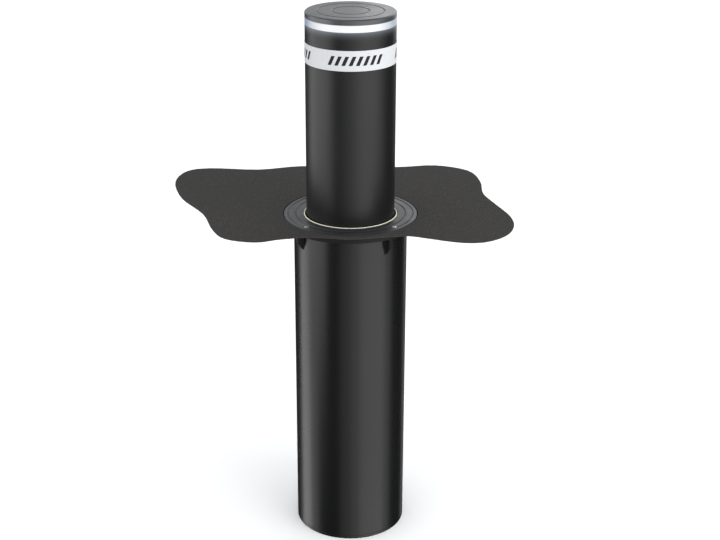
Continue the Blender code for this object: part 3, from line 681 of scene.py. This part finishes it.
def steel():
    """Bare ground steel."""
    return grained("bare_ground_steel", colours().steel, roughness=0.24, metallic=1.0,
                   grain=0.0006, depth=0.00001, drift=0.05, spread=0.06, polish=0.05)


def stainless():
    """Stainless steel of the screws."""
    return grained("stainless_steel", colours().stainless, roughness=0.28, metallic=1.0,
                   grain=0.0008, depth=0.00002, drift=0.008, spread=0.10, polish=0.07)


def alloy():
    """Sand cast aluminium."""
    return grained("sand_cast_alloy", colours().alloy, roughness=0.46, metallic=1.0,
                   grain=0.0012, depth=0.00010, drift=0.05, spread=0.10, polish=0.06)


def bronze():
    """Bearing bronze."""
    return grained("bearing_bronze", colours().bronze, roughness=0.34, metallic=1.0,
                   grain=0.0008, depth=0.00002, drift=0.02, spread=0.12, polish=0.06)


def rubber():
    """Black rubber."""
    return grained("black_rubber", colours().rubber, roughness=0.72, grain=0.0010,
                   depth=0.00006, drift=0.03, spread=0.15)


def motor_coat():
    """Dark blue-grey enamel of the motor."""
    blue_grey = (0.060, 0.065, 0.075)
    return grained("motor_enamel", blue_grey, roughness=0.42, grain=0.002, depth=0.00004)


def board():
    """Solder mask of the lamp's circuit strip."""
    green = (0.05, 0.22, 0.09)
    return grained("solder_mask", green, roughness=0.4, grain=0.001, depth=0.00002,
                   spread=0.08)


def box_plastic():
    """Light grey plastic of the junction box."""
    light_grey = (0.42, 0.43, 0.44)
    return grained("grey_box_plastic", light_grey, roughness=0.5, grain=0.0008,
                   depth=0.00003, spread=0.04)


# ---------------------------------------------------------------- the stage
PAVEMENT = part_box("cover_ring")[1][2]
EYE_DISTANCE = 3.3643
EYE_HEIGHT = 1.2164         # above the pavement
EYE_PITCH = math.radians(22.185)
EYE_YAW = math.radians(0.413)
EYE_ROLL = math.radians(0.212)
LENS_MM = 71.73
FAR_CLIP = 200.0
FLOOR_SIZE = 60.0
SOFT_LEVEL = 1.30           # the room's brightness for all but reflections

# Softboxes: name, azimuth in degrees, distance, width, height, middle height and radiance.
MIRRORED = (("key_left", -108, 3.6, 1.8, 6.4, -0.6, 1.85),
            ("key_spread", -71, 3.6, 3.0, 4.2, 0.9, 1.0),
            ("key_high", -68, 3.7, 2.8, 2.2, 0.6, 0.95),
            ("key_low", -86, 3.6, 2.0, 2.6, -2.5, 0.8),
            ("front_soft", -6, 3.8, 2.0, 6.4, -0.6, 0.45),
            ("fill_soft", 47, 3.7, 7.2, 6.4, -0.6, 0.70),
            ("fill_right", 46, 3.6, 3.8, 6.4, -0.6, 0.8),
            ("rim_right", 150, 3.6, 1.1, 6.4, -0.6, 0.3),
            ("glare_right", 155, 0.85, 0.7, 0.85, 1.51, 0.8))
WASH = ("wash_right", 50, 3.0, 2.4, 2.4, 1.4, 2.3)


def softbox(name, azimuth, distance, width, height, middle, radiance):
    """An upright area light that faces the bollard; azimuth runs from the front towards +X."""
    light = bpy.data.lights.new(name, 'AREA')
    light.shape = 'RECTANGLE'
    light.size = width
    light.size_y = height
    light.energy = radiance * math.pi * width * height
    lamp = bpy.data.objects.new(name, light)
    bpy.context.scene.collection.objects.link(lamp)
    angle = math.radians(azimuth)
    away = Vector((math.sin(angle), -math.cos(angle), 0.0))
    facing = (-away).to_track_quat('-Z', 'Y').to_matrix().to_4x4()
    lamp.matrix_world = Matrix.Translation(away * distance + Vector((0, 0, middle))) @ facing
    lamp.visible_camera = False
    return lamp


def studio_world():
    """A white room: bright above for reflections, dark below, even for soft light."""
    world = bpy.data.worlds.new("studio")
    bpy.context.scene.world = world
    world.use_nodes = True
    tree = world.node_tree
    tree.nodes.clear()
    path = tree.nodes.new('ShaderNodeLightPath').outputs
    place = tree.nodes.new('ShaderNodeTexCoord').outputs["Generated"]
    up = add_node(tree, 'ShaderNodeSeparateXYZ', {0: place}).outputs[2]
    overhead = ramp(tree, up, 0.45, 0.85, 1.0, 0.35)
    mirrored = maths(tree, 'MULTIPLY', ramp(tree, up, -0.02, 0.22, 0.015, 0.92), overhead)
    even = maths(tree, 'SUBTRACT', 1.0, path["Is Glossy Ray"])
    level = maths(tree, 'ADD', maths(tree, 'MULTIPLY', mirrored, path["Is Glossy Ray"]),
                  maths(tree, 'MULTIPLY', even, SOFT_LEVEL))
    sky = add_node(tree, 'ShaderNodeBackground', {"Color": (0.97, 0.985, 1.0, 1.0),
                                                  "Strength": level})
    result = tree.nodes.new('ShaderNodeOutputWorld')
    tree.links.new(sky.outputs[0], result.inputs[0])


class BOLLARD_OT_stage(bpy.types.Operator):
    """Sets up the pale floor, the soft studio light and the camera"""
    bl_idname = "bollard.stage"
    bl_label = "Studio stage"

    def execute(self, context):
        start_clean()
        bpy.ops.mesh.primitive_plane_add(size=FLOOR_SIZE, location=(0, 0, 0))
        floor = context.object
        floor.name = "studio_floor"
        floor.visible_glossy = False
        floor.visible_shadow = False
        white = (0.93, 0.93, 0.93)
        floor.data.materials.append(grained("pale_floor", white, roughness=0.9, specular=0.1,
                                            grain=0.004, depth=0.0, drift=1.5, spread=0.004))
        studio_world()
        for row in MIRRORED:
            softbox(*row).visible_diffuse = False
        softbox(*WASH).visible_glossy = False

        camera = bpy.data.objects.new("camera", bpy.data.cameras.new("camera"))
        camera.data.lens = LENS_MM
        camera.data.clip_end = FAR_CLIP
        context.scene.collection.objects.link(camera)
        camera.matrix_world = (Matrix.Translation((0, -EYE_DISTANCE, PAVEMENT + EYE_HEIGHT))
                               @ Matrix.Rotation(-EYE_YAW, 4, 'Z')
                               @ Matrix.Rotation(math.pi / 2 - EYE_PITCH, 4, 'X')
                               @ Matrix.Rotation(EYE_ROLL, 4, 'Z'))
        context.scene.camera = camera
        context.scene.view_settings.view_transform = 'Standard'
        return {'FINISHED'}


# ---------------------------------------------------------------- casing
class BOLLARD_OT_casing(bpy.types.Operator):
    """Makes the casing tube with its two stub holes, and the base plate"""
    bl_idname = "bollard.casing"
    bl_label = "Casing and base plate"

    def execute(self, context):
        inner, outer, bottom, top = turned_size("casing_tube")
        tube = turned("casing_shell", ring_outline(inner, outer, bottom, top))
        holes = []
        for node in ("conduit_socket", "drain_spigot"):
            middle, _, pipe, _, near, _, far = stub_size(node)
            start_clean()
            bpy.ops.mesh.primitive_cylinder_add(
                vertices=SMALL_SIDES, radius=pipe + sizes().edge / 2, depth=far - near,
                location=(0.0, (near + far) / 2, middle), rotation=(math.pi / 2, 0.0, 0.0))
            holes.append(context.object)
        cut(tube, holes)
        finish(tube, casing_coat(), "casing_tube", slot="coated_steel")

        _, outer, bottom, top = turned_size("base_plate")
        foot_r = outer * 0.93
        crown_r = outer * 0.9
        recess = (top - bottom) * 0.2
        outline = [(foot_r, bottom + recess), (foot_r + recess, bottom), (outer, bottom),
                   (outer, top), (crown_r, top)]
        plate = turned("casing_base", outline, solid=True, edge=2 * sizes().edge)
        finish(plate, casing_coat(), "base_plate", slot="coated_steel")
        return {'FINISHED'}


class BOLLARD_OT_flange(bpy.types.Operator):
    """Makes the top flange, its welded gussets and their beads"""
    bl_idname = "bollard.flange"
    bl_label = "Top flange and gussets"

    def execute(self, context):
        inner, outer, bottom, top = turned_size("top_flange")
        corners = corners_of("top_flange")
        recess_top = max(height for radius, height in corners if radius < inner + MERGE)
        recess_r = min(radius for radius, height in corners if height > recess_top + MERGE)
        outline = [(inner, bottom), (outer, bottom), (outer, top), (recess_r, top),
                   (recess_r, recess_top), (inner, recess_top)]
        flange = turned("pavement_flange", outline, edge=2 * sizes().edge)
        nodes = numbered("cover_ring_screw", 4)
        start_clean()
        bpy.ops.mesh.primitive_cylinder_add(
            vertices=SMALL_SIDES // 2, radius=shank_of(nodes[0])[0] + sizes().edge / 2,
            depth=4 * (top - bottom), location=(*centre_of(nodes[0]), top))
        bpy.ops.object.transform_apply(location=True, rotation=True, scale=True)
        cut(flange, one_at_each(context.object, nodes))
        finish(flange, flange_coat(), "top_flange", slot="coated_steel")

        nodes = numbered("flange_gusset", 4)
        first = self.gusset(nodes[0])
        plates = [first] + [copied(first, name) for name in numbered("gusset", 4)[1:]]
        for plate, node in zip(plates, nodes):
            placed(plate, turn=self.turn_of(node))
            finish(plate, flange_coat(), node, slot="coated_steel")
        return {'FINISHED'}

    def turn_of(self, node):
        """Angle from +X to a gusset."""
        x, y = centre_of(node)
        return math.atan2(y, x)

    def gusset(self, node):
        """A gusset plate on the +X side, with a weld bead down each of its faces."""
        level = Matrix.Rotation(-self.turn_of(node), 4, 'Z')
        flat = [level @ vert.co for vert in frame["nodes"][node].data.vertices]
        near, far = min(v.x for v in flat), max(v.x for v in flat)
        half = (max(v.y for v in flat) - min(v.y for v in flat)) / 2
        bottom, top = min(v.z for v in flat), max(v.z for v in flat)
        outer_bottom = min(v.z for v in flat if v.x > far - MERGE)

        start_clean()
        bpy.ops.mesh.primitive_cube_add(size=1.0, location=((near + far) / 2, 0.0,
                                                            (bottom + top) / 2))
        plate = bpy.context.object
        bpy.ops.transform.resize(value=(far - near, 2 * half, top - bottom))
        bpy.ops.object.transform_apply(location=True, rotation=True, scale=True)
        bpy.ops.object.mode_set(mode='EDIT')
        bpy.ops.mesh.select_mode(type='VERT')
        bpy.ops.mesh.select_all(action='DESELECT')
        bpy.ops.object.mode_set(mode='OBJECT')
        for vert in plate.data.vertices:
            vert.select = vert.co.x > far - MERGE and vert.co.z < bottom + MERGE
        bpy.ops.object.mode_set(mode='EDIT')
        bpy.ops.transform.translate(value=(0.0, 0.0, outer_bottom - bottom))
        bpy.ops.object.mode_set(mode='OBJECT')
        soften(plate, sizes().edge)
        beads = [self.bead(near, side * half, bottom, top) for side in (-1, 1)]
        return joined([plate, *beads], "gusset_1")

    def bead(self, x, y, bottom, top):
        """An upright weld bead with its ripples."""
        radius = sizes().weld
        tip_r = radius * 0.3
        step = radius / 2
        count = int((top - bottom - radius) / step)
        outline = [(tip_r, bottom)]
        for k in range(count):
            swell = 0.92 + 0.10 * (k % 2)
            outline.append((radius * swell, bottom + step * (k + 0.8)))
        outline.append((tip_r, bottom + step * (count + 0.6)))
        return turned("weld_bead", outline, (x, y), BEAD_SIDES, solid=True, edge=0.0)


class BOLLARD_OT_services(bpy.types.Operator):
    """Makes the conduit socket and the drain spigot at the back of the casing"""
    bl_idname = "bollard.services"
    bl_label = "Conduit and drain stubs"

    def execute(self, context):
        for node, ribs in (("conduit_socket", 4), ("drain_spigot", 3)):
            middle, bore, pipe, collar, near, seat, far = stub_size(node)
            lip = (pipe - bore) / 4
            reach = far - near
            collar_end = seat + (collar - pipe)
            rib_pitch = (far - collar_end) / (ribs + 1)
            rib = (collar - pipe) / 4
            outline = [(bore, 0.0), (pipe, 0.0), (pipe, seat - near), (collar, seat - near),
                       (collar, collar_end - near), (pipe, collar_end - near)]
            for k in range(ribs):
                height = collar_end - near + rib_pitch * (k + 0.7)
                outline += [(pipe, height), (pipe + rib, height + rib),
                            (pipe + rib, height + 2 * rib), (pipe, height + 3 * rib)]
            outline += [(pipe, reach), (bore + lip, reach), (bore + lip, reach - 2 * lip),
                        (bore, reach - 4 * lip)]
            stub = turned(node + "_pipe", outline, sides=SMALL_SIDES, edge=sizes().edge / 2)
            placed(stub, at=(0.0, near, middle), lean=-math.pi / 2)
            finish(stub, zinc(), node, slot="zinc_steel")
        return {'FINISHED'}


# ---------------------------------------------------------------- at the pavement
class BOLLARD_OT_cover(bpy.types.Operator):
    """Makes the grooved cover ring, its screws, the wiper seal and the guide bush"""
    bl_idname = "bollard.cover"
    bl_label = "Cover ring and seal"

    def execute(self, context):
        size = sizes()
        inner, outer, bottom, top = turned_size("cover_ring")
        chamfer = 2.5 * size.edge
        outline = [(inner, bottom), (outer, bottom), (outer, top - chamfer),
                   (outer - chamfer, top), *groove(size.cover_groove_outer, top),
                   *groove(size.cover_groove_inner, top), (inner + chamfer, top),
                   (inner, top - chamfer)]
        ring = turned("cover_casting", outline, edge=size.edge / 2)
        nodes = numbered("cover_ring_screw", 4)
        cut(ring, screw_holes(nodes, bottom, top, 1.5 * size.edge))
        finish(ring, cover_coat(), "cover_ring", slot="cast_cover")
        screws("cover_bolt", nodes, socket=0.0032)

        inner, outer, bottom, top = turned_size("wiper_seal")
        half = (outer - inner) / 2
        steps = 8
        crown = [(inner + half - half * math.cos(angle), top - half + half * math.sin(angle))
                 for angle in (math.pi * k / steps for k in range(steps + 1))]
        outline = [(outer, bottom), *crown[::-1], (inner, bottom)]
        seal = turned("wiper_lip", outline, edge=0.0)
        finish(seal, seal_rubber(), "wiper_seal", slot="seal_polymer")

        bush = turned("guide_sleeve", ring_outline(*turned_size("guide_bush")))
        finish(bush, guide_polymer(), "guide_bush", slot="guide_polymer")
        return {'FINISHED'}


class BOLLARD_OT_pavement(bpy.types.Operator):
    """Makes the patch of asphalt around the flange"""
    bl_idname = "bollard.pavement"
    bl_label = "Pavement patch"

    def execute(self, context):
        size = sizes()
        low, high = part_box("pavement_patch")
        start_clean()
        node = frame["nodes"]["pavement_patch"]
        patch = bpy.data.objects.new("asphalt_patch", node.data.copy())
        context.scene.collection.objects.link(patch)
        only(patch)
        bpy.ops.object.mode_set(mode='EDIT')
        bpy.ops.mesh.select_all(action='SELECT')
        bpy.ops.mesh.remove_doubles(threshold=MERGE)
        bpy.ops.mesh.dissolve_limited(angle_limit=math.radians(1))
        bpy.ops.object.mode_set(mode='OBJECT')
        soften(patch, 2 * size.edge)
        bpy.ops.object.mode_set(mode='EDIT')
        cell = 0.8 * size.stone_size
        for axis in range(2):
            count = int((high[axis] - low[axis]) / cell)
            facing = [0.0, 0.0, 0.0]
            facing[axis] = 1.0
            for k in range(1, count + 1):
                point = [0.0, 0.0, 0.0]
                point[axis] = low[axis] + k * cell
                bpy.ops.mesh.select_all(action='SELECT')
                bpy.ops.mesh.bisect(plane_co=point, plane_no=facing)
        bpy.ops.object.mode_set(mode='OBJECT')
        stones = bpy.data.textures.new("stones", 'VORONOI')
        stones.noise_scale = 1.6 * size.stone_size
        apply_modifier(patch, 'DISPLACE', texture=stones, texture_coords='LOCAL',
                       strength=size.stone_relief, mid_level=1.0)
        finish(patch, asphalt(), "pavement_patch", slot="asphalt")
        return {'FINISHED'}


# ---------------------------------------------------------------- the rising bollard
class BOLLARD_OT_tube(bpy.types.Operator):
    """Makes the rising tube and the reflective band around it"""
    bl_idname = "bollard.tube"
    bl_label = "Tube and band"

    def execute(self, context):
        tube = turned("rising_tube", ring_outline(*turned_size("bollard_tube")))
        finish(tube, lit_powder_coat(), "bollard_tube", slot="coated_steel")
        band = turned("reflective_wrap", ring_outline(*turned_size("reflective_band")),
                      edge=0.0001)
        finish(band, tape(), "reflective_band", slot="reflective_tape")
        return {'FINISHED'}


class BOLLARD_OT_head(bpy.types.Operator):
    """Makes the light ring, the grooved cap and its screws"""
    bl_idname = "bollard.head"
    bl_label = "Light ring and cap"

    def execute(self, context):
        size = sizes()
        inner, outer, bottom, top = turned_size("light_lens")
        rim = (outer - inner) / 8
        outline = [(inner, bottom), (outer - rim, bottom), (outer, bottom + rim),
                   (outer, top - rim), (outer - rim, top), (inner, top)]
        lens = turned("lens_ring", outline, edge=0.0)
        finish(lens, lens_glow(), "light_lens", slot="light_lens")

        _, outer, bottom, top = turned_size("top_cap")
        chamfer = size.cap_chamfer
        outline = [(outer, bottom), (outer, top - chamfer), (outer - chamfer, top),
                   *groove(size.cap_groove_outer, top), *groove(size.cap_groove_inner, top)]
        cap = turned("grooved_cap", outline, solid=True, edge=size.edge / 2)
        nodes = numbered("cap_screw", 4)
        cut(cap, screw_holes(nodes, bottom, top, size.edge))
        finish(cap, cap_coat(), "top_cap", slot="cap_coat")
        screws("cap_bolt", nodes, socket=0.0026)
        return {'FINISHED'}


# ---------------------------------------------------------------- inside
class BOLLARD_OT_cable(bpy.types.Operator):
    """Makes the lamp cable as one fixed coil; the real one stretches as the tube rises"""
    bl_idname = "bollard.cable"
    bl_label = "Coiled lamp cable"

    def execute(self, context):
        inner, outer, bottom, top = turned_size("lamp_cable")
        thick = (outer - inner) / 2
        radius = (inner + outer) / 2
        turns = 8
        steps = 32      # in each turn
        curve = bpy.data.curves.new("coiled_cable", 'CURVE')
        curve.dimensions = '3D'
        curve.bevel_depth = thick * 0.94
        curve.bevel_resolution = 2
        curve.use_fill_caps = True
        line = curve.splines.new('POLY')
        line.points.add(turns * steps)
        for k, point in enumerate(line.points):
            share = k / (turns * steps)
            angle = math.tau * turns * share
            height = bottom + thick + (top - bottom - 2 * thick) * share
            point.co = (radius * math.cos(angle), radius * math.sin(angle), height, 1.0)
        cable = bpy.data.objects.new("coiled_lamp_cable", curve)
        context.scene.collection.objects.link(cable)
        only(cable)
        bpy.ops.object.convert(target='MESH')
        cable = context.object
        cable.name = "coiled_lamp_cable"
        finish(cable, rubber(), "lamp_cable", slot="cable_jacket")
        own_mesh(cable)
        return {'FINISHED'}


class BOLLARD_OT_lead_screw(bpy.types.Operator):
    """Makes the lead screw with its threads that run side by side"""
    bl_idname = "bollard.lead_screw"
    bl_label = "Lead screw"

    def execute(self, context):
        size = sizes()
        corners = sorted({(round(height, 5), round(radius, 5))
                          for radius, height in corners_of("lead_screw")})
        thread_r = max(radius for _, radius in corners)
        low = min(height for height, radius in corners if radius == thread_r)
        high = max(height for height, radius in corners if radius == thread_r)
        ends = []
        for bottom, top in ((corners[0][0], low), (high, corners[-1][0])):
            radius = min(radius for height, radius in corners if height in (bottom, top))
            ends.append(self.journal(radius, bottom, top))

        sides = 12 * size.thread_starts
        turn_steps = 36
        start_clean()
        bpy.ops.mesh.primitive_circle_add(vertices=sides, radius=thread_r, location=(0, 0, low))
        thread = context.object
        for k, vert in enumerate(thread.data.vertices):
            trough = 0.5 - 0.5 * math.cos(math.tau * k * size.thread_starts / sides)
            vert.co *= 1.0 - size.thread_depth / thread_r * trough
        turns = max(1, round((high - low) / (size.thread_starts * size.thread_pitch)))
        apply_modifier(thread, 'SCREW', axis='Z', angle=math.tau, iterations=turns,
                       steps=turn_steps, render_steps=turn_steps,
                       screw_offset=(high - low) / turns, use_merge_vertices=False,
                       use_smooth_shade=True)
        bpy.ops.object.mode_set(mode='EDIT')
        bpy.ops.mesh.select_all(action='DESELECT')
        bpy.ops.mesh.select_mode(type='EDGE')
        bpy.ops.mesh.select_non_manifold()
        bpy.ops.mesh.edge_face_add()
        bpy.ops.mesh.select_all(action='SELECT')
        bpy.ops.mesh.normals_make_consistent(inside=False)
        bpy.ops.object.mode_set(mode='OBJECT')
        bpy.ops.object.transform_apply(location=True, rotation=True, scale=True)
        whole = joined([thread, *ends], "threaded_lead_screw")
        finish(whole, steel(), "lead_screw", slot="ground_steel")
        return {'FINISHED'}

    def journal(self, radius, bottom, top):
        """A plain turned end of the lead screw."""
        rim = sizes().edge
        outline = [(radius - rim, bottom), (radius, bottom + rim), (radius, top - rim),
                   (radius - rim, top)]
        return turned("journal", outline, sides=SMALL_SIDES, solid=True, edge=0.0)


class BOLLARD_OT_guides(bpy.types.Operator):
    """Makes the guide rods and their bushes, the posts, the buffers and the sensors"""
    bl_idname = "bollard.guides"
    bl_label = "Rods, bushes and buffers"

    def execute(self, context):
        edge = sizes().edge
        groups = (("guide_rod", 3, self.rod, steel, "ground_steel"),
                  ("deck_post", 3, self.post, zinc, "zinc_steel"),
                  ("linear_bush", 3, self.bush, bronze, "bronze"),
                  ("stop_buffer", 3, self.buffer, rubber, "buffer_rubber"))
        for stem, count, profile, material, slot in groups:
            nodes = numbered(stem, count)
            inner, radius, bottom, top = turned_size(nodes[0])
            solid = radius - inner < MERGE
            outline = profile(inner, radius, bottom, top)
            first = turned(stem + "_turned", outline, centre_of(nodes[0]), SMALL_SIDES,
                           solid=solid, edge=edge / 2)
            for piece, node in zip(one_at_each(first, nodes), nodes):
                finish(piece, material(), node, slot=slot)
        for node in ("lower_limit_sensor", "upper_limit_sensor"):
            self.sensor(node)
        return {'FINISHED'}

    def rod(self, _, radius, bottom, top):
        """Outline of a ground rod with chamfered ends."""
        rim = radius / 8
        return [(radius - rim, bottom), (radius, bottom + rim), (radius, top - rim),
                (radius - rim, top)]

    def post(self, _, radius, bottom, top):
        """Outline of a post with a turned neck near each end."""
        neck = radius * 0.82
        foot = 0.6 * radius
        start, end, shaft = 1.4 * foot, 2.2 * foot, 2.6 * foot
        return [(radius, bottom), (radius, bottom + foot), (neck, bottom + start),
                (neck, bottom + end), (radius, bottom + shaft), (radius, top - shaft),
                (neck, top - end), (neck, top - start), (radius, top - foot), (radius, top)]

    def bush(self, inner, radius, bottom, top):
        """Outline of a bush with a circlip groove near each end."""
        floor = radius * 0.94
        span = (top - bottom) / 8
        slot = span / 4
        return [(inner, bottom), (radius, bottom), (radius, bottom + span),
                (floor, bottom + span), (floor, bottom + span + slot),
                (radius, bottom + span + slot), (radius, top - span - slot),
                (floor, top - span - slot), (floor, top - span), (radius, top - span),
                (radius, top), (inner, top)]

    def buffer(self, _, radius, bottom, top):
        """Outline of a ribbed rubber buffer."""
        ribs = 4
        pitch = (top - bottom) / ribs
        waist = radius * 0.84
        outline = []
        for k in range(ribs):
            foot = bottom + k * pitch
            outline += [(waist, foot + 0.02 * pitch), (radius, foot + 0.3 * pitch),
                        (radius, foot + 0.7 * pitch)]
        return [*outline, (waist, top)]

    def sensor(self, node):
        """A threaded sensor barrel with its two nuts."""
        centre = centre_of(node)
        _, radius, bottom, top = turned_size(node)
        pitch = radius / 5
        root_r = radius * 0.9
        outline = [(root_r, bottom)]
        for k in range(int((top - bottom) / pitch)):
            outline += [(radius, bottom + (k + 0.4) * pitch), (root_r, bottom + (k + 0.9) * pitch)]
        outline.append((root_r, top))
        pieces = [turned("sensor_barrel", outline, centre, SMALL_SIDES, solid=True, edge=0.0)]
        for share in (0.4, 0.6):
            start_clean()
            bpy.ops.mesh.primitive_cylinder_add(
                vertices=HEXAGON, radius=1.5 * radius, depth=0.6 * radius,
                location=(*centre, bottom + share * (top - bottom)))
            nut = bpy.context.object
            bpy.ops.object.transform_apply(location=True, rotation=True, scale=True)
            soften(nut, sizes().edge / 2)
            pieces.append(nut)
        finish(joined(pieces, node + "_barrel"), bronze(), node, slot="sensor_body")


class BOLLARD_OT_rings(bpy.types.Operator):
    """Makes the plain rings, the bearings, the motor and the lamp strip with its chips"""
    bl_idname = "bollard.rings"
    bl_label = "Rings, motor and lamp strip"

    def execute(self, context):
        rings = (("stop_collar", zinc, "zinc_steel"), ("wear_ring", guide_polymer, "guide_polymer"),
                 ("guide_collar", alloy, "cast_alloy"), ("led_carrier", alloy, "cast_alloy"),
                 ("brake_coil", motor_coat, "motor_coat"))
        for node, material, slot in rings:
            ring = turned(node + "_ring", ring_outline(*turned_size(node)), centre_of(node))
            finish(ring, material(), node, slot=slot)
        for node in ("thrust_bearing", "top_bearing"):
            self.bearing(node)
        self.motor()
        self.lamp_strip()
        return {'FINISHED'}

    def bearing(self, node):
        """A bearing whose faces show the gap between its races."""
        inner, outer, bottom, top = turned_size(node)
        gap_in = inner + (outer - inner) * 0.35
        gap_out = inner + (outer - inner) * 0.62
        sunk = (top - bottom) / 12
        outline = [(inner, bottom), (gap_in, bottom), (gap_in, bottom + sunk),
                   (gap_out, bottom + sunk), (gap_out, bottom), (outer, bottom), (outer, top),
                   (gap_out, top), (gap_out, top - sunk), (gap_in, top - sunk), (gap_in, top),
                   (inner, top)]
        piece = turned(node + "_races", outline, centre_of(node), edge=sizes().edge / 2)
        finish(piece, steel(), node, slot="cast_alloy")

    def motor(self):
        """The motor's ribbed housing."""
        inner, outer, bottom, top = turned_size("motor_can")
        ribs = 9
        pitch = (top - bottom) / (ribs + 2)
        floor = outer * 0.93
        outline = [(inner, bottom), (outer, bottom), (outer, bottom + pitch)]
        for k in range(ribs):
            foot = bottom + pitch * (k + 1)
            outline += [(floor, foot + 0.1 * pitch), (floor, foot + 0.5 * pitch),
                        (outer, foot + 0.6 * pitch), (outer, foot + pitch)]
        outline += [(outer, top), (inner, top)]
        housing = turned("motor_housing", outline, centre_of("motor_can"), SMALL_SIDES * 2,
                         edge=sizes().edge / 2)
        finish(housing, motor_coat(), "motor_can", slot="motor_coat")

    def lamp_strip(self):
        """The circuit strip and the chips that stand on it."""
        inner, outer, bottom, top = turned_size("led_strip")
        strip = turned("lamp_strip", ring_outline(inner, outer, bottom, top), edge=0.0)
        finish(strip, board(), "led_strip", slot="circuit_board")
        count = sizes().chip_count
        side = 0.28 * (top - bottom)
        start_clean()
        bpy.ops.mesh.primitive_cube_add(size=side, location=(outer + side / 4, 0.0,
                                                             (bottom + top) / 2))
        bpy.ops.transform.resize(value=(0.5, 1.0, 1.0))
        bpy.ops.object.transform_apply(location=True, rotation=True, scale=True)
        chips = [bpy.context.object]
        for k in range(1, count):
            chips.append(placed(copied(chips[0], "chip"), turn=math.tau * k / count))
        chips = joined(chips, "lamp_chips")
        finish(chips, chip_glow(), "led_strip", slot="light_lens")


class BOLLARD_OT_finishes(bpy.types.Operator):
    """Gives the pieces that are shown as the frame has them their finishes"""
    bl_idname = "bollard.finishes"
    bl_label = "Finishes inside"

    def execute(self, context):
        makers = {"zinc_steel": zinc, "ground_steel": steel, "cast_alloy": alloy,
                  "bronze": bronze, "box_plastic": box_plastic}
        for entry in frame["record"]["subparts"]:
            piece = frame["nodes"][entry["node"]]
            if entry["material_slot"] in makers and not piece.hide_render:
                piece.data.materials.clear()
                piece.data.materials.append(makers[entry["material_slot"]]())
        return {'FINISHED'}


# ---------------------------------------------------------------- add-on
PIECES = (BOLLARD_OT_stage, BOLLARD_OT_casing, BOLLARD_OT_flange, BOLLARD_OT_services,
          BOLLARD_OT_cover, BOLLARD_OT_pavement, BOLLARD_OT_tube, BOLLARD_OT_head,
          BOLLARD_OT_cable, BOLLARD_OT_lead_screw, BOLLARD_OT_guides, BOLLARD_OT_rings,
          BOLLARD_OT_finishes)


class BOLLARD_PT_panel(bpy.types.Panel):
    """Lists the bollard's pieces, sizes and colours"""
    bl_idname = "BOLLARD_PT_panel"
    bl_label = "Retractable bollard"
    bl_space_type = 'VIEW_3D'
    bl_region_type = 'UI'
    bl_category = "Bollard"

    def draw(self, context):
        for piece in PIECES:
            self.layout.operator(piece.bl_idname)
        for group in (sizes(), colours()):
            box = self.layout.box()
            for name in group.bl_rna.properties.keys():
                if name not in ("rna_type", "name"):
                    box.prop(group, name)


CLASSES = (BollardColours, BollardSizes, *PIECES, BOLLARD_PT_panel)


def register():
    for item in CLASSES:
        bpy.utils.register_class(item)
    bpy.types.Scene.bollard_colours = PointerProperty(type=BollardColours)
    bpy.types.Scene.bollard_sizes = PointerProperty(type=BollardSizes)


def unregister():
    del bpy.types.Scene.bollard_sizes
    del bpy.types.Scene.bollard_colours
    for item in reversed(CLASSES):
        bpy.utils.unregister_class(item)


def main():
    register()
    bpy.ops.bollard.stage()
    bpy.ops.bollard.casing()
    bpy.ops.bollard.flange()
    bpy.ops.bollard.services()
    bpy.ops.bollard.cover()
    bpy.ops.bollard.pavement()
    bpy.ops.bollard.tube()
    bpy.ops.bollard.head()
    bpy.ops.bollard.cable()
    bpy.ops.bollard.lead_screw()
    bpy.ops.bollard.guides()
    bpy.ops.bollard.rings()
    bpy.ops.bollard.finishes()


if __name__ == "__main__":
    main()
